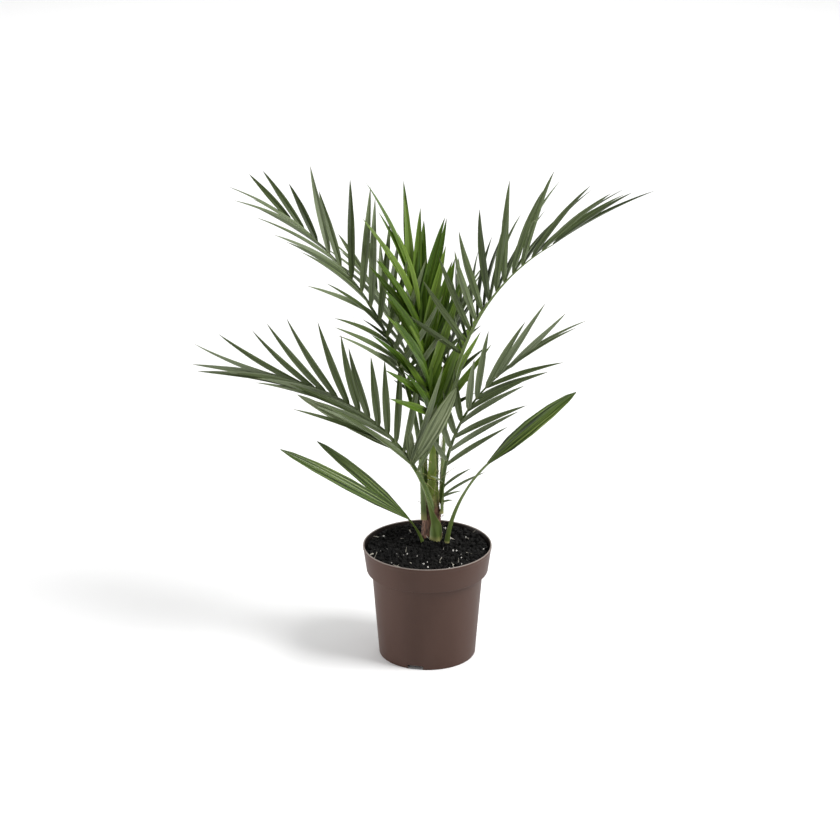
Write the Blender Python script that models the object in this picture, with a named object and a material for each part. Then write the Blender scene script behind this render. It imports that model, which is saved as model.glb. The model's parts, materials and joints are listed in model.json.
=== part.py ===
"""Potted Canary Island date palm: a nursery pot, its peat, a short fibrous stem, seven feathered
fronds on channelled stalks and two strap-shaped young leaves. Metres, +Z up, the pot stands on z = 0."""

import math

import bmesh
import bpy
import numpy as np
from mathutils.bvhtree import BVHTree

GAP = 0.0003

# Nursery pot, 15 cm across the rim
POT_RIM_RADIUS = 0.075
POT_HEIGHT = 0.135
POT_WALL = 0.0014
COLLAR_HEIGHT = 0.030
COLLAR_FOOT_RADIUS = 0.0708
BODY_TOP_RADIUS = 0.0645
BODY_FOOT_RADIUS = 0.0565
FLOOR_THICKNESS = 0.0014
CHANNEL_HEIGHT = 0.0056
SEAT_RADIUS = 0.030
NOTCH_WIDTH = 0.0186
NOTCH_HEIGHT = 0.0048
NOTCH_COUNT = 3
NOTCH_ANGLE = 255.5
DRAIN_RADIUS = 0.004
DRAIN_RING_RADIUS = 0.0425
POT_SEGMENTS = 44
RIM_ROUND = 0.0010
SHOULDER_DROP = 0.0035
FOOT_ROUND = 0.0006

# Peat: level near the wall, drawn up into a low mound round the stem
SOIL_LEVEL = 0.1262
MOUND_HEIGHT = 0.0060
MOUND_TOP_RADIUS = 0.020
MOUND_FOOT_RADIUS = 0.034

# Stem
STEM_X = 0.0050
STEM_Y = 0.0310
STEM_FOOT = SOIL_LEVEL + MOUND_HEIGHT + GAP
STEM_HEIGHT = 0.070
STEM_LEAN = (0.0010, 0.0020)
STEM_RADII = (0.0128, 0.0112, 0.0104, 0.0098, 0.0090, 0.0080, 0.0066, 0.0045)
STEM_SIDES = 16
STEM_RIDGE = 0.0006

# Fronds
PATH_STEPS = 48
BLADE_START = 0.008
LEAFLET_FACING = 30
LEAFLET_BOW = 0.035
LEAFLET_THINNEST = 0.0013
LEAFLET_SLENDERNESS = 92
LEAFLET_CLEARANCE = 0.0012
LEAFLET_END_WIDTH = 0.80
RIB_TIP_WIDTH = 0.0014
RIB_STATIONS = 12
STALK_STATIONS = 10

# All leaflets follow one rule from the lowest pair to the tip: the angle they open from the rib and
# the angle they lift off the blade, in degrees.
LEAFLET_SPREAD = (65, 50, 38, 14)
LEAFLET_RISE = (40, 35, 30, 15)
LONGEST_AT = 0.40
# No two leaflets are quite alike: the most that one differs from the rule
UNEVEN_SPREAD = 7
UNEVEN_RISE = 9
UNEVEN_LENGTH = 0.12
# A leaflet that would meet a neighbour turns aside by one of these angles, then is shortened
YIELD_ANGLES = (0, 5, 10, 15, 20)
YIELD_SHARES = (1.0, 0.85, 0.7, 0.5, 0.3)
YIELD_OPENING = 0.6

# Each frond: its seat on the stem as an angle and a height, how it leans and arches over its
# length, and the share of bare stalk. Headings are degrees, 0 is +X and 90 is +Y. Each rank of
# leaflets opens by a share of the rule and lifts by some degrees more or less; low and mid are the
# lengths of its lowest and its longest leaflet, and tip that of both ranks' last.
FRONDS = {
    "upper_right": dict(
        seat=(20, 0.038), heading=-20, sweep=10, lean=(0, 58), bend=1.7,
        length=0.365, bare=0.50, roll=(10, -25), stalk=(0.0086, 0.0058), pairs=13, width=0.0088,
        tip=0.125, right=dict(open=0.90, lift=0, low=0.100, mid=0.140),
        left=dict(open=1.05, lift=0, low=0.085, mid=0.120)),
    "upper_left": dict(
        seat=(220, 0.024), heading=160, sweep=-5, lean=(0, 62), bend=1.4,
        length=0.400, bare=0.40, roll=(-30, -15), stalk=(0.0090, 0.0060), pairs=13, width=0.0086,
        tip=0.080, right=dict(open=0.80, lift=5, low=0.090, mid=0.120),
        left=dict(open=0.90, lift=-15, low=0.150, mid=0.120)),
    "centre": dict(
        seat=None, heading=130, sweep=0, lean=(0, 20), bend=1.1,
        length=0.235, bare=0.28, roll=(0, -10), stalk=(0.0110, 0.0056), pairs=12, width=0.0110,
        tip=0.115, right=dict(open=0.60, lift=5, low=0.110, mid=0.130),
        left=dict(open=0.95, lift=0, low=0.125, mid=0.150)),
    "front_left": dict(
        seat=(290, 0.0), heading=186, sweep=-16, lean=(0, 77), bend=0.90,
        length=0.275, bare=0.30, roll=(-20, -70), stalk=(0.0155, 0.0062), pairs=14, width=0.0090,
        tip=0.115, right=dict(open=0.85, lift=0, low=0.150, mid=0.085),
        left=dict(open=0.40, lift=-40, low=0.150, mid=0.110)),
    "mid_right": dict(
        seat=(335, 0.030), heading=-25, sweep=10, lean=(0, 50), bend=1.2,
        length=0.210, bare=0.25, roll=(80, 50), stalk=(0.0070, 0.0052), pairs=9, width=0.0084,
        tip=0.105, right=dict(open=0.65, lift=-40, low=0.110, mid=0.115),
        left=dict(open=0.60, lift=0, low=0.045, mid=0.060)),
    "back_left": dict(
        seat=(130, 0.032), heading=120, sweep=10, lean=(0, 60), bend=1.5,
        length=0.285, bare=0.45, roll=(0, 5), stalk=(0.0080, 0.0050), pairs=10, width=0.0084,
        tip=0.075, right=dict(open=0.95, lift=0, low=0.085, mid=0.095),
        left=dict(open=0.95, lift=-5, low=0.080, mid=0.095)),
    "back_right": dict(
        seat=(70, 0.028), heading=75, sweep=-10, lean=(0, 45), bend=1.4,
        length=0.240, bare=0.45, roll=(0, -10), stalk=(0.0080, 0.0050), pairs=10, width=0.0084,
        tip=0.070, right=dict(open=0.90, lift=0, low=0.070, mid=0.080),
        left=dict(open=0.95, lift=0, low=0.070, mid=0.080)),
}

# Young strap leaves: a thin stalk from the peat, a short sleeve, then one or two pleated lobes. A
# lobe is its heading, its lean from vertical, the roll of its face, its length and its width.
YOUNG_LEAVES = {
    "young_left": dict(
        foot=(-0.0060, 0.0117), heading=190, lean=(14, 42), bend=1.0, length=0.036,
        stalk=(0.0046, 0.0036),
        lobes=((190, 57, -60, 0.175, 0.0150), (178, 48, -50, 0.140, 0.0140))),
    "young_right": dict(
        foot=(0.0232, 0.0118), heading=-10, lean=(6, 44), bend=1.0, length=0.116,
        stalk=(0.0075, 0.0042),
        lobes=((-10, 47, 60, 0.135, 0.0190),)),
}

# Half sections, as shares of half width and half depth, round from the left edge
STALK_SECTION = ((-1.0, 0.45), (0.0, 0.20), (1.0, 0.45), (0.62, -0.55), (0.0, -1.0), (-0.62, -0.55))
STALK_DEPTH = 0.78
# Blade outlines: share of length, share of half width
LEAFLET_OUTLINE = ((0.0, 0.30), (0.12, 0.80), (0.40, 1.0), (0.74, 0.62))
LOBE_OUTLINE = ((0.0, 0.16), (0.10, 0.42), (0.28, 0.86), (0.50, 1.0), (0.74, 0.84), (0.92, 0.46))
LEAFLET_OUTER = ((0.45, 0.95), (0.74, 0.62))
LEAFLET_FOLD = 0.35
BLADE_TIP = 0.10
BLADE_TIP_THICKNESS = 0.40
LOBE_BOW = 0.03
LOBE_SLEEVE = 0.006
SLEEVE_DEPTH = 0.77
LOBE_THICKNESS = 0.0020


def make_material(name, colour, roughness):
    material = bpy.data.materials.new(name)
    material.use_nodes = True
    shader = material.node_tree.nodes["Principled BSDF"]
    shader.inputs["Base Color"].default_value = (*colour, 1.0)
    shader.inputs["Roughness"].default_value = roughness
    return material


def add_object(name, points, faces, collection, material=None):
    mesh = bpy.data.meshes.new(name)
    mesh.from_pydata([tuple(map(float, p)) for p in points], [], [tuple(f) for f in faces])
    mesh.update()
    obj = bpy.data.objects.new(name, mesh)
    if material:
        mesh.materials.append(material)
    collection.objects.link(obj)
    return obj


def control(values, t):
    """A value between those given at equal steps from the lowest leaflet to the tip."""
    return float(np.interp(t, np.linspace(0.0, 1.0, len(values)), values))


def unit(vector):
    return vector / np.linalg.norm(vector)


def pointing(heading, lean):
    """The direction of a heading and a lean from vertical, both in radians."""
    flat = math.sin(lean)
    return np.array([flat * math.cos(heading), flat * math.sin(heading), math.cos(lean)])


def directions(frond, s):
    """Along the rib, off its upper face and across it, at share s of the whole length."""
    lean_foot, lean_tip = frond["lean"]
    roll_foot, roll_tip = frond.get("roll", (0, 0))
    lean = math.radians(lean_foot + (lean_tip - lean_foot) * s ** frond["bend"])
    heading = math.radians(frond["heading"] + frond.get("sweep", 0) * s)
    roll = math.radians(roll_foot + (roll_tip - roll_foot) * s)
    along = pointing(heading, lean)
    upper = -pointing(heading, lean + math.pi / 2)
    across = np.cross(along, upper)
    turned_upper = upper * math.cos(roll) + across * math.sin(roll)
    turned_across = across * math.cos(roll) - upper * math.sin(roll)
    return along, turned_upper, turned_across


def soil_height(x, y):
    """The peat's surface: level, with a smooth low mound about the stem."""
    distance = math.hypot(x - STEM_X, y - STEM_Y)
    share = (distance - MOUND_TOP_RADIUS) / (MOUND_FOOT_RADIUS - MOUND_TOP_RADIUS)
    share = min(max(share, 0.0), 1.0)
    return SOIL_LEVEL + MOUND_HEIGHT * (1 - share * share * (3 - 2 * share))


def stem_centre(height):
    share = height / STEM_HEIGHT
    return np.array([STEM_X + STEM_LEAN[0] * share, STEM_Y + STEM_LEAN[1] * share, STEM_FOOT + height])


def foot_of(frond):
    """Where a stalk starts: on the peat, against the side of the stem, or on the stem's top."""
    if "foot" in frond:
        x, y = frond["foot"]
        reach = frond["stalk"][0] / 2
        highest = max(soil_height(x + reach * math.cos(a), y + reach * math.sin(a))
                      for a in np.linspace(0, math.tau, 12, endpoint=False))
        return np.array([x, y, highest + GAP])
    if frond["seat"] is None:
        return stem_centre(STEM_HEIGHT + GAP)
    angle, height = math.radians(frond["seat"][0]), frond["seat"][1]
    edge_depth = STALK_SECTION[0][1] * STALK_DEPTH * frond["stalk"][0] / 2
    out = control(STEM_RADII, height / STEM_HEIGHT) + STEM_RIDGE + edge_depth + 2 * GAP
    return stem_centre(height) + out * np.array([math.cos(angle), math.sin(angle), 0.0])


def centre_line(frond):
    """The points of a stalk and its rib, one for each step."""
    points = [foot_of(frond)]
    for step in range(PATH_STEPS):
        along = directions(frond, (step + 0.5) / PATH_STEPS)[0]
        points.append(points[-1] + along * frond["length"] / PATH_STEPS)
    return np.array(points)


def point_at(line, s):
    step = min(int(s * PATH_STEPS), PATH_STEPS - 1)
    share = s * PATH_STEPS - step
    return line[step] * (1 - share) + line[step + 1] * share


def skin(rings):
    """Points and outward faces of the closed body through a row of rings. A ring of one point ends it."""
    points, starts = [], []
    for ring in rings:
        starts.append(len(points))
        points.extend(ring)
    faces = []
    for k in range(len(rings) - 1):
        here, there = starts[k], starts[k + 1]
        count = len(rings[k])
        for i in range(count):
            j = (i + 1) % count
            if len(rings[k + 1]) == 1:
                faces.append((here + i, here + j, there))
            else:
                faces.append((here + i, here + j, there + j, there + i))
    faces.append(tuple(reversed(range(starts[0], starts[0] + len(rings[0])))))
    if len(rings[-1]) > 1:
        faces.append(tuple(range(starts[-1], starts[-1] + len(rings[-1]))))
    return points, faces


def stalk_body(frond, line, first, last, widths, stations):
    """A channelled stalk or rib between two shares of the frond's length. A stalk's foot is
    turned so that its channel clasps the stem, and is flat where it sits on the peat."""
    rings = []
    to_stem = np.array([STEM_X - line[0][0], STEM_Y - line[0][1], 0.0])
    for k in range(stations):
        share = k / (stations - 1)
        s = first + (last - first) * share
        along, upper, across = directions(frond, s)
        if first == 0.0 and np.linalg.norm(to_stem) > 2 * GAP:
            clasp = (1 - share) ** 2
            upper = unit(to_stem) * clasp + upper * (1 - clasp)
            upper = unit(upper - along * np.dot(upper, along))
            across = np.cross(along, upper)
        half_width = (widths[0] + (widths[1] - widths[0]) * share) / 2
        half_depth = half_width * STALK_DEPTH
        centre = point_at(line, s)
        rings.append([centre + across * x * half_width + upper * y * half_depth
                      for x, y in STALK_SECTION])
    if first == 0.0:
        rings[0] = [np.array([x, y, line[0][2]]) for x, y, z in rings[0]]
    return skin(rings)


def blade_body(base, along, facing, length, width, thickness, outline, bow, grow=0.0):
    """A thin folded blade that narrows to a small blunt tip; grow is the room kept round it."""
    normal = unit(facing - along * np.dot(facing, along))
    side = np.cross(along, normal)
    half_thick = thickness / 2 + grow
    rings = []
    for share, wide in (*outline, (1.0, BLADE_TIP)):
        centre = base + along * length * share + normal * bow * length * 4 * share * (1 - share)
        half = width / 2 * wide + grow
        thick = half_thick if share < 1.0 else half_thick * BLADE_TIP_THICKNESS
        lift = normal * LEAFLET_FOLD * half
        rings.append([centre - side * half + lift, centre + normal * thick,
                      centre + side * half + lift, centre - normal * thick])
    return skin(rings)


def unevenness(frond, t, side):
    """Three seeded shares between -1 and 1, one set for each leaflet of a frond."""
    seed = int(round(frond["heading"] + 360)) * 1000 + int(round(400 * t)) * 2 + (side > 0)
    return np.random.default_rng(seed).uniform(-1.0, 1.0, 3)


def leaflet(frond, line, t, side, lift=0.0, open_more=0.0, share=1.0, grow=0.0,
            outline=LEAFLET_OUTLINE):
    """One leaflet: t runs from the lowest of its rank to the tip, side is 1 right or -1 left."""
    rank = frond["right"] if side > 0 else frond["left"]
    start = frond["bare"] + BLADE_START / frond["length"]
    s = start + (1 - start) * t
    along, upper, across = directions(frond, s)
    wide, high, long = unevenness(frond, t, side)
    spread = math.radians(control(LEAFLET_SPREAD, t) * rank["open"] + open_more + wide * UNEVEN_SPREAD)
    rise = math.radians(control(LEAFLET_RISE, t) + rank["lift"] + lift + high * UNEVEN_RISE)
    lengths = (rank["low"], rank["mid"], frond["tip"])
    length = float(np.interp(t, (0.0, LONGEST_AT, 1.0), lengths)) * share * (1 + long * UNEVEN_LENGTH)
    out = across * side * math.cos(rise) + upper * math.sin(rise)
    heading = along * math.cos(spread) + out * math.sin(spread)
    tilt = math.radians(LEAFLET_FACING)
    facing = upper * math.cos(tilt) - out * math.sin(tilt)
    thickness = max(LEAFLET_THINNEST, length / LEAFLET_SLENDERNESS)
    width = frond["width"] * (LEAFLET_END_WIDTH + (1 - LEAFLET_END_WIDTH) * math.sin(math.pi * t))
    return blade_body(point_at(line, s), heading, facing, length, width, thickness,
                      outline, LEAFLET_BOW, grow)


def rank_places(pairs):
    """Where the leaflets sit, as (t, side): the two ranks alternate and both end at the tip."""
    places = []
    for k in range(pairs):
        places.append((k / (pairs - 1), 1))
        places.append(((k + 0.4) / (pairs - 0.6), -1))
    return places


def tree_of(body):
    return BVHTree.FromPolygons([tuple(map(float, p)) for p in body[0]], body[1])


def clear_leaflet(frond, line, t, side, obstacles, siblings):
    """The leaflet turned, then shortened, by the least that keeps it off its neighbours. Beside
    its siblings only the outer part has to be clear."""
    for share in YIELD_SHARES:
        for reach in YIELD_ANGLES:
            for lift, open_more in ((1, 0), (-1, 0), (0, 1), (0, -1)):
                turn = (lift * reach, open_more * reach * YIELD_OPENING, share)
                guard = tree_of(leaflet(frond, line, t, side, *turn, LEAFLET_CLEARANCE))
                outer = tree_of(leaflet(frond, line, t, side, *turn, 0.0, LEAFLET_OUTER))
                if not (any(guard.overlap(tree) for tree in obstacles)
                        or any(outer.overlap(tree) for tree in siblings)):
                    siblings.append(outer)
                    return leaflet(frond, line, t, side, *turn)
                if reach == 0:
                    break
    return None


def keep_outer_shell(mesh):
    """Fills sealed hollows and drops loose scraps: only the largest closed shell stays."""
    shape = bmesh.new()
    shape.from_mesh(mesh)
    shape.faces.ensure_lookup_table()
    unseen = set(shape.faces)
    shells = []
    while unseen:
        waiting = [unseen.pop()]
        shell = []
        while waiting:
            face = waiting.pop()
            shell.append(face)
            for edge in face.edges:
                for beside in edge.link_faces:
                    if beside in unseen:
                        unseen.discard(beside)
                        waiting.append(beside)
        shells.append(shell)
    shells.sort(key=lambda shell: -sum(face.calc_area() for face in shell))
    spare = [face for shell in shells[1:] for face in shell]
    bmesh.ops.delete(shape, geom=spare, context="FACES")
    shape.to_mesh(mesh)
    shape.free()


def joined(name, bodies, parts, material):
    """One closed body from a rib and the blades that grow out of it."""
    group = bpy.data.collections.new(name + "_blades")
    bpy.context.scene.collection.children.link(group)
    rib = add_object(name, *bodies[0], parts, material)
    for k, body in enumerate(bodies[1:]):
        add_object(f"{name}_blade_{k:02d}", *body, group)
    modifier = rib.modifiers.new("join", "BOOLEAN")
    modifier.operation = "UNION"
    modifier.operand_type = "COLLECTION"
    modifier.collection = group
    modifier.solver = "EXACT"
    graph = bpy.context.evaluated_depsgraph_get()
    whole = bpy.data.meshes.new_from_object(rib.evaluated_get(graph))
    keep_outer_shell(whole)
    rib.modifiers.clear()
    rib.data = whole
    whole.name = name
    whole.materials.clear()
    whole.materials.append(material)
    for blade in list(group.objects):
        bpy.data.objects.remove(blade)
    bpy.data.collections.remove(group)
    return rib


def turned(name, profile, segments, collection, material=None):
    """A body turned about the pot's axis from its (radius, height) profile, axis to axis."""
    points, rings = [], []
    for radius, height in profile:
        if radius == 0:
            rings.append([len(points)] * segments)
            points.append((0.0, 0.0, height))
            continue
        rings.append(list(range(len(points), len(points) + segments)))
        for k in range(segments):
            angle = math.tau * k / segments
            points.append((radius * math.cos(angle), radius * math.sin(angle), height))
    faces = []
    for lower, upper in zip(rings, rings[1:]):
        for i in range(segments):
            j = (i + 1) % segments
            corners = (lower[i], lower[j], upper[j], upper[i])
            face = tuple(dict.fromkeys(corners))
            if len(face) > 2:
                faces.append(face)
    return add_object(name, points, faces, collection, material)


def cut(target, cutter):
    cutter.hide_render = True
    cutter.display_type = "WIRE"
    modifier = target.modifiers.new(cutter.name, "BOOLEAN")
    modifier.operation = "DIFFERENCE"
    modifier.object = cutter
    modifier.solver = "EXACT"


def make_pot(parts, helpers, material):
    """Thin moulded wall with a stepped collar, a raised drain channel and a notched foot."""
    wall = POT_WALL
    collar_z = POT_HEIGHT - COLLAR_HEIGHT
    outer = [
        (0, 0), (SEAT_RADIUS, 0), (SEAT_RADIUS + 0.0012, CHANNEL_HEIGHT),
        (BODY_FOOT_RADIUS - wall - 0.0006, CHANNEL_HEIGHT), (BODY_FOOT_RADIUS - wall, 0.0004),
        (BODY_FOOT_RADIUS - wall + 0.0003, 0), (BODY_FOOT_RADIUS - 0.0005, 0),
        (BODY_FOOT_RADIUS, FOOT_ROUND), (BODY_TOP_RADIUS, collar_z - SHOULDER_DROP),
        (BODY_TOP_RADIUS + 0.0007, collar_z - 0.0020), (COLLAR_FOOT_RADIUS - 0.0009, collar_z - 0.0012),
        (COLLAR_FOOT_RADIUS, collar_z), (POT_RIM_RADIUS - 0.0002, POT_HEIGHT - 0.0020),
        (POT_RIM_RADIUS, POT_HEIGHT - RIM_ROUND), (POT_RIM_RADIUS - 0.0005, POT_HEIGHT)]
    floor = CHANNEL_HEIGHT + FLOOR_THICKNESS
    inner = [
        (POT_RIM_RADIUS - wall + 0.0002, POT_HEIGHT),
        (POT_RIM_RADIUS - wall - 0.0004, POT_HEIGHT - RIM_ROUND),
        (COLLAR_FOOT_RADIUS - wall, collar_z + 0.0014),
        (COLLAR_FOOT_RADIUS - wall - 0.0012, collar_z + 0.0003),
        (BODY_TOP_RADIUS - wall + 0.0004, collar_z - 0.0005), (BODY_TOP_RADIUS - wall, collar_z - 0.0022),
        (BODY_FOOT_RADIUS - wall + 0.0005, floor + 0.0012), (BODY_FOOT_RADIUS - wall - 0.0008, floor),
        (SEAT_RADIUS - 0.0006, floor), (SEAT_RADIUS - 0.0014, FLOOR_THICKNESS), (0, FLOOR_THICKNESS)]
    pot = turned("pot", outer + inner, POT_SEGMENTS, parts, material)
    for k in range(NOTCH_COUNT):
        angle = math.radians(NOTCH_ANGLE + 360 * k / NOTCH_COUNT)
        outward = np.array([math.cos(angle), math.sin(angle), 0.0])
        across = np.array([-outward[1], outward[0], 0.0])
        up = np.array([0.0, 0.0, 1.0])
        ends = (BODY_FOOT_RADIUS - 0.0060, BODY_FOOT_RADIUS + 0.0040)
        rings = [[outward * reach + across * NOTCH_WIDTH / 2 * x + up * z
                  for x, z in ((-1, -0.002), (1, -0.002), (1, NOTCH_HEIGHT), (-1, NOTCH_HEIGHT))]
                 for reach in ends]
        cut(pot, add_object(f"notch_{k}", *skin(rings), helpers))
        centre = outward * DRAIN_RING_RADIUS
        circle = [(DRAIN_RADIUS * math.cos(math.tau * i / 16), DRAIN_RADIUS * math.sin(math.tau * i / 16))
                  for i in range(16)]
        rings = [[centre + np.array([x, y, z]) for x, y in circle] for z in (0.002, floor + 0.003)]
        cut(pot, add_object(f"drain_{k}", *skin(rings), helpers))
    return pot


def make_soil(parts, material):
    """The peat that fills the pot, kept clear of its wall and floor."""
    wall = POT_WALL + GAP
    collar_z = POT_HEIGHT - COLLAR_HEIGHT
    floor = CHANNEL_HEIGHT + FLOOR_THICKNESS + GAP
    slope = (POT_RIM_RADIUS - COLLAR_FOOT_RADIUS) / COLLAR_HEIGHT
    top = COLLAR_FOOT_RADIUS + slope * (SOIL_LEVEL - collar_z) - wall - 0.0006
    segments = POT_SEGMENTS
    sides = [(BODY_FOOT_RADIUS - wall - 0.0012, floor), (BODY_FOOT_RADIUS - wall, floor + 0.0016),
             (BODY_TOP_RADIUS - wall - 0.0002, collar_z - 0.0022),
             (BODY_TOP_RADIUS - wall, collar_z + 0.0004),
             (COLLAR_FOOT_RADIUS - wall - 0.0016, collar_z + 0.0018),
             (top, SOIL_LEVEL - 0.0006)]
    rings = []
    for radius, height in sides:
        rings.append([np.array([radius * math.cos(math.tau * k / segments),
                                radius * math.sin(math.tau * k / segments), height])
                      for k in range(segments)])
    for share in (0.985, 0.86, 0.72, 0.58, 0.44, 0.30, 0.15):
        ring = []
        for k in range(segments):
            x = top * share * math.cos(math.tau * k / segments)
            y = top * share * math.sin(math.tau * k / segments)
            ring.append(np.array([x, y, soil_height(x, y)]))
        rings.append(ring)
    rings.append([np.array([0.0, 0.0, soil_height(0.0, 0.0)])])
    return add_object("soil", *skin(rings), parts, material)


def stem_body():
    """A short tapering stem, flat where it meets the peat, ridged by the feet of old leaves."""
    rings = []
    last = len(STEM_RADII) - 1
    for k, radius in enumerate(STEM_RADII):
        share = k / last
        centre = np.array([STEM_X + STEM_LEAN[0] * share, STEM_Y + STEM_LEAN[1] * share,
                           STEM_FOOT + STEM_HEIGHT * share])
        ring = []
        for i in range(STEM_SIDES):
            angle = math.tau * i / STEM_SIDES
            out = radius + STEM_RIDGE * math.cos(3 * angle + 2.4 * k)
            ring.append(centre + np.array([out * math.cos(angle), out * math.sin(angle), 0.0]))
        rings.append(ring)
    return skin(rings)


def make_young_leaf(name, leaf, parts, stalk_material, blade_material, obstacles):
    line = centre_line(leaf)
    stalk = stalk_body(leaf, line, 0.0, 1.0 - GAP / leaf["length"], leaf["stalk"], STALK_STATIONS)
    along, upper, across = directions(leaf, 1.0)
    tip = line[-1]
    half = leaf["stalk"][1] / 2
    sleeve = [[tip + along * reach + across * x * half + upper * y * half * SLEEVE_DEPTH
               for x, y in STALK_SECTION] for reach in (0.0, LOBE_SLEEVE)]
    bodies = [skin(sleeve)]
    for heading, lean, roll, length, width in leaf["lobes"]:
        towards = pointing(math.radians(heading), math.radians(lean))
        upright = -pointing(math.radians(heading), math.radians(lean) + math.pi / 2)
        turn = math.radians(roll)
        facing = upright * math.cos(turn) + np.cross(towards, upright) * math.sin(turn)
        bodies.append(blade_body(tip + along * LOBE_SLEEVE / 3, towards, facing, length, width,
                                 LOBE_THICKNESS, LOBE_OUTLINE, LOBE_BOW))
    add_object("stalk_" + name, *stalk, parts, stalk_material)
    joined("leaf_" + name, bodies, parts, blade_material)
    obstacles.append(tree_of(stalk))
    obstacles.extend(tree_of(body) for body in bodies)


def clear_scene():
    for obj in list(bpy.data.objects):
        bpy.data.objects.remove(obj)


def build():
    clear_scene()
    parts = bpy.data.collections.new("potted_date_palm")
    helpers = bpy.data.collections.new("helpers")
    bpy.context.scene.collection.children.link(parts)
    bpy.context.scene.collection.children.link(helpers)
    plastic = make_material("taupe_plastic", (0.105, 0.072, 0.058), 0.55)
    peat = make_material("peat", (0.018, 0.013, 0.010), 0.9)
    fibre = make_material("stem_fibre", (0.160, 0.085, 0.045), 0.85)
    stalk_green = make_material("stalk_green", (0.150, 0.230, 0.060), 0.5)
    leaf_green = make_material("leaf_green", (0.090, 0.160, 0.055), 0.55)

    make_pot(parts, helpers, plastic)
    make_soil(parts, peat)
    stem = stem_body()
    add_object("stem", *stem, parts, fibre)
    fixed = [tree_of(stem)]
    for name, leaf in YOUNG_LEAVES.items():
        make_young_leaf(name, leaf, parts, stalk_green, leaf_green, fixed)

    lines = {name: centre_line(frond) for name, frond in FRONDS.items()}
    ribs = {}
    for name, frond in FRONDS.items():
        gap = GAP / frond["length"]
        stalk = stalk_body(frond, lines[name], 0.0, frond["bare"] - gap, frond["stalk"], STALK_STATIONS)
        ribs[name] = stalk_body(frond, lines[name], frond["bare"], 1.0,
                                (frond["stalk"][1], RIB_TIP_WIDTH), RIB_STATIONS)
        add_object("stalk_" + name, *stalk, parts, stalk_green)
        fixed.append(tree_of(stalk))
    rib_trees = {name: tree_of(rib) for name, rib in ribs.items()}
    placed = []
    for name, frond in FRONDS.items():
        others = [tree for other, tree in rib_trees.items() if other != name]
        bodies = [ribs[name]]
        siblings = []
        for t, side in rank_places(frond["pairs"]):
            body = clear_leaflet(frond, lines[name], t, side, fixed + others + placed, siblings)
            if body:
                bodies.append(body)
        placed.extend(tree_of(body) for body in bodies[1:])
        joined("frond_" + name, bodies, parts, leaf_green)


build()
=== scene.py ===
"""The looks of a young Canary Island date palm in a nursery pot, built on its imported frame.
Metres, +Z up. The pot stands on z = 0."""

import json
import math

import bmesh
import bpy
import numpy as np
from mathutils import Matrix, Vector
from mathutils.bvhtree import BVHTree

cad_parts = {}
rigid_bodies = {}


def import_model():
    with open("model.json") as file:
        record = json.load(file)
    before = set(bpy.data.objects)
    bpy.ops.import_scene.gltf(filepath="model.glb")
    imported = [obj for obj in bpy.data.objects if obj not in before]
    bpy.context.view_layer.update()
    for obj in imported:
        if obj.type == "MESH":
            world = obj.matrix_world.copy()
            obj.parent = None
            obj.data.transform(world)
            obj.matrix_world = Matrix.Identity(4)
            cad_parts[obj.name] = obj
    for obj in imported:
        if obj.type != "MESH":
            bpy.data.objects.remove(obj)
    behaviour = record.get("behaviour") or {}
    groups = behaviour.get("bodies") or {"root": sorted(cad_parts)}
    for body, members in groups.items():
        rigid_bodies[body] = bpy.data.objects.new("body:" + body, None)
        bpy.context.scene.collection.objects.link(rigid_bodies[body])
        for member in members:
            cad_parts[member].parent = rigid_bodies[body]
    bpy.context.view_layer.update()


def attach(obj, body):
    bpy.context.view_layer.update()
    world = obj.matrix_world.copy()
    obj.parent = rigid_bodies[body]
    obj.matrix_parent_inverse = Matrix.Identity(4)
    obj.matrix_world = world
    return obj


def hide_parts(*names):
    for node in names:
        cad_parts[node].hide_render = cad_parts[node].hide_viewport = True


for leftover in list(bpy.data.objects):
    bpy.data.objects.remove(leftover)
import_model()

# --- Floor, lights and camera ---------------------------------------------------------------
# A plain pale floor, a soft key light high on the right, a weak panel on either side and in
# front, a light over the far floor and an even surround. The camera looks a little down.
FLOOR_SIZE = 8.0
FLOOR_COLOUR = (0.90, 0.90, 0.90, 1.0)
FLOOR_ROUGHNESS = 0.85
SURROUND = 0.38
WHITE = (1.0, 1.0, 1.0, 1.0)
AIM = Vector((-0.0085, 0.0, 0.2888))
# Each aimed light: its name, place, width and watts
LIGHTS = (("key", (1.6, -0.55, 2.0), 1.1, 70.0), ("left_panel", (-2.2, 0.5, 0.42), 0.8, 40.0),
          ("right_panel", (2.2, 0.6, 0.9), 1.6, 12.0), ("front_panel", (-0.5, -2.3, 0.9), 1.2, 9.0))
BACKDROP_PLACE = (0.0, 3.0, 2.0)
BACKDROP_SIZE = (4.0, 2.2)
BACKDROP_WATTS = 58.0
CAMERA_DISTANCE = 3.0
CAMERA_ELEVATION = math.radians(20.5)
CAMERA_LENS = 112.6
CAMERA_SENSOR = 36.0


def in_scene(name, data, place=(0.0, 0.0, 0.0), aim=None):
    """A new object at a place, turned to face the aim where one is given."""
    obj = bpy.data.objects.new(name, data)
    bpy.context.scene.collection.objects.link(obj)
    obj.location = place
    if aim is not None:
        obj.rotation_euler = (aim - obj.location).to_track_quat("-Z", "Y").to_euler()
    return obj


def area_light(name, watts, width, depth=None):
    """The data of a square light, or of a rectangular one where a depth is given."""
    data = bpy.data.lights.new(name, "AREA")
    data.energy = watts
    data.size = width
    if depth:
        data.shape = "RECTANGLE"
        data.size_y = depth
    return data


def new_finish(name, roughness, specular=0.5):
    """A material, its node tree and its shader."""
    material = bpy.data.materials.new(name)
    material.use_nodes = True
    shader = material.node_tree.nodes["Principled BSDF"]
    shader.inputs["Roughness"].default_value = roughness
    shader.inputs["Specular IOR Level"].default_value = specular
    return material, material.node_tree, shader


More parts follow.
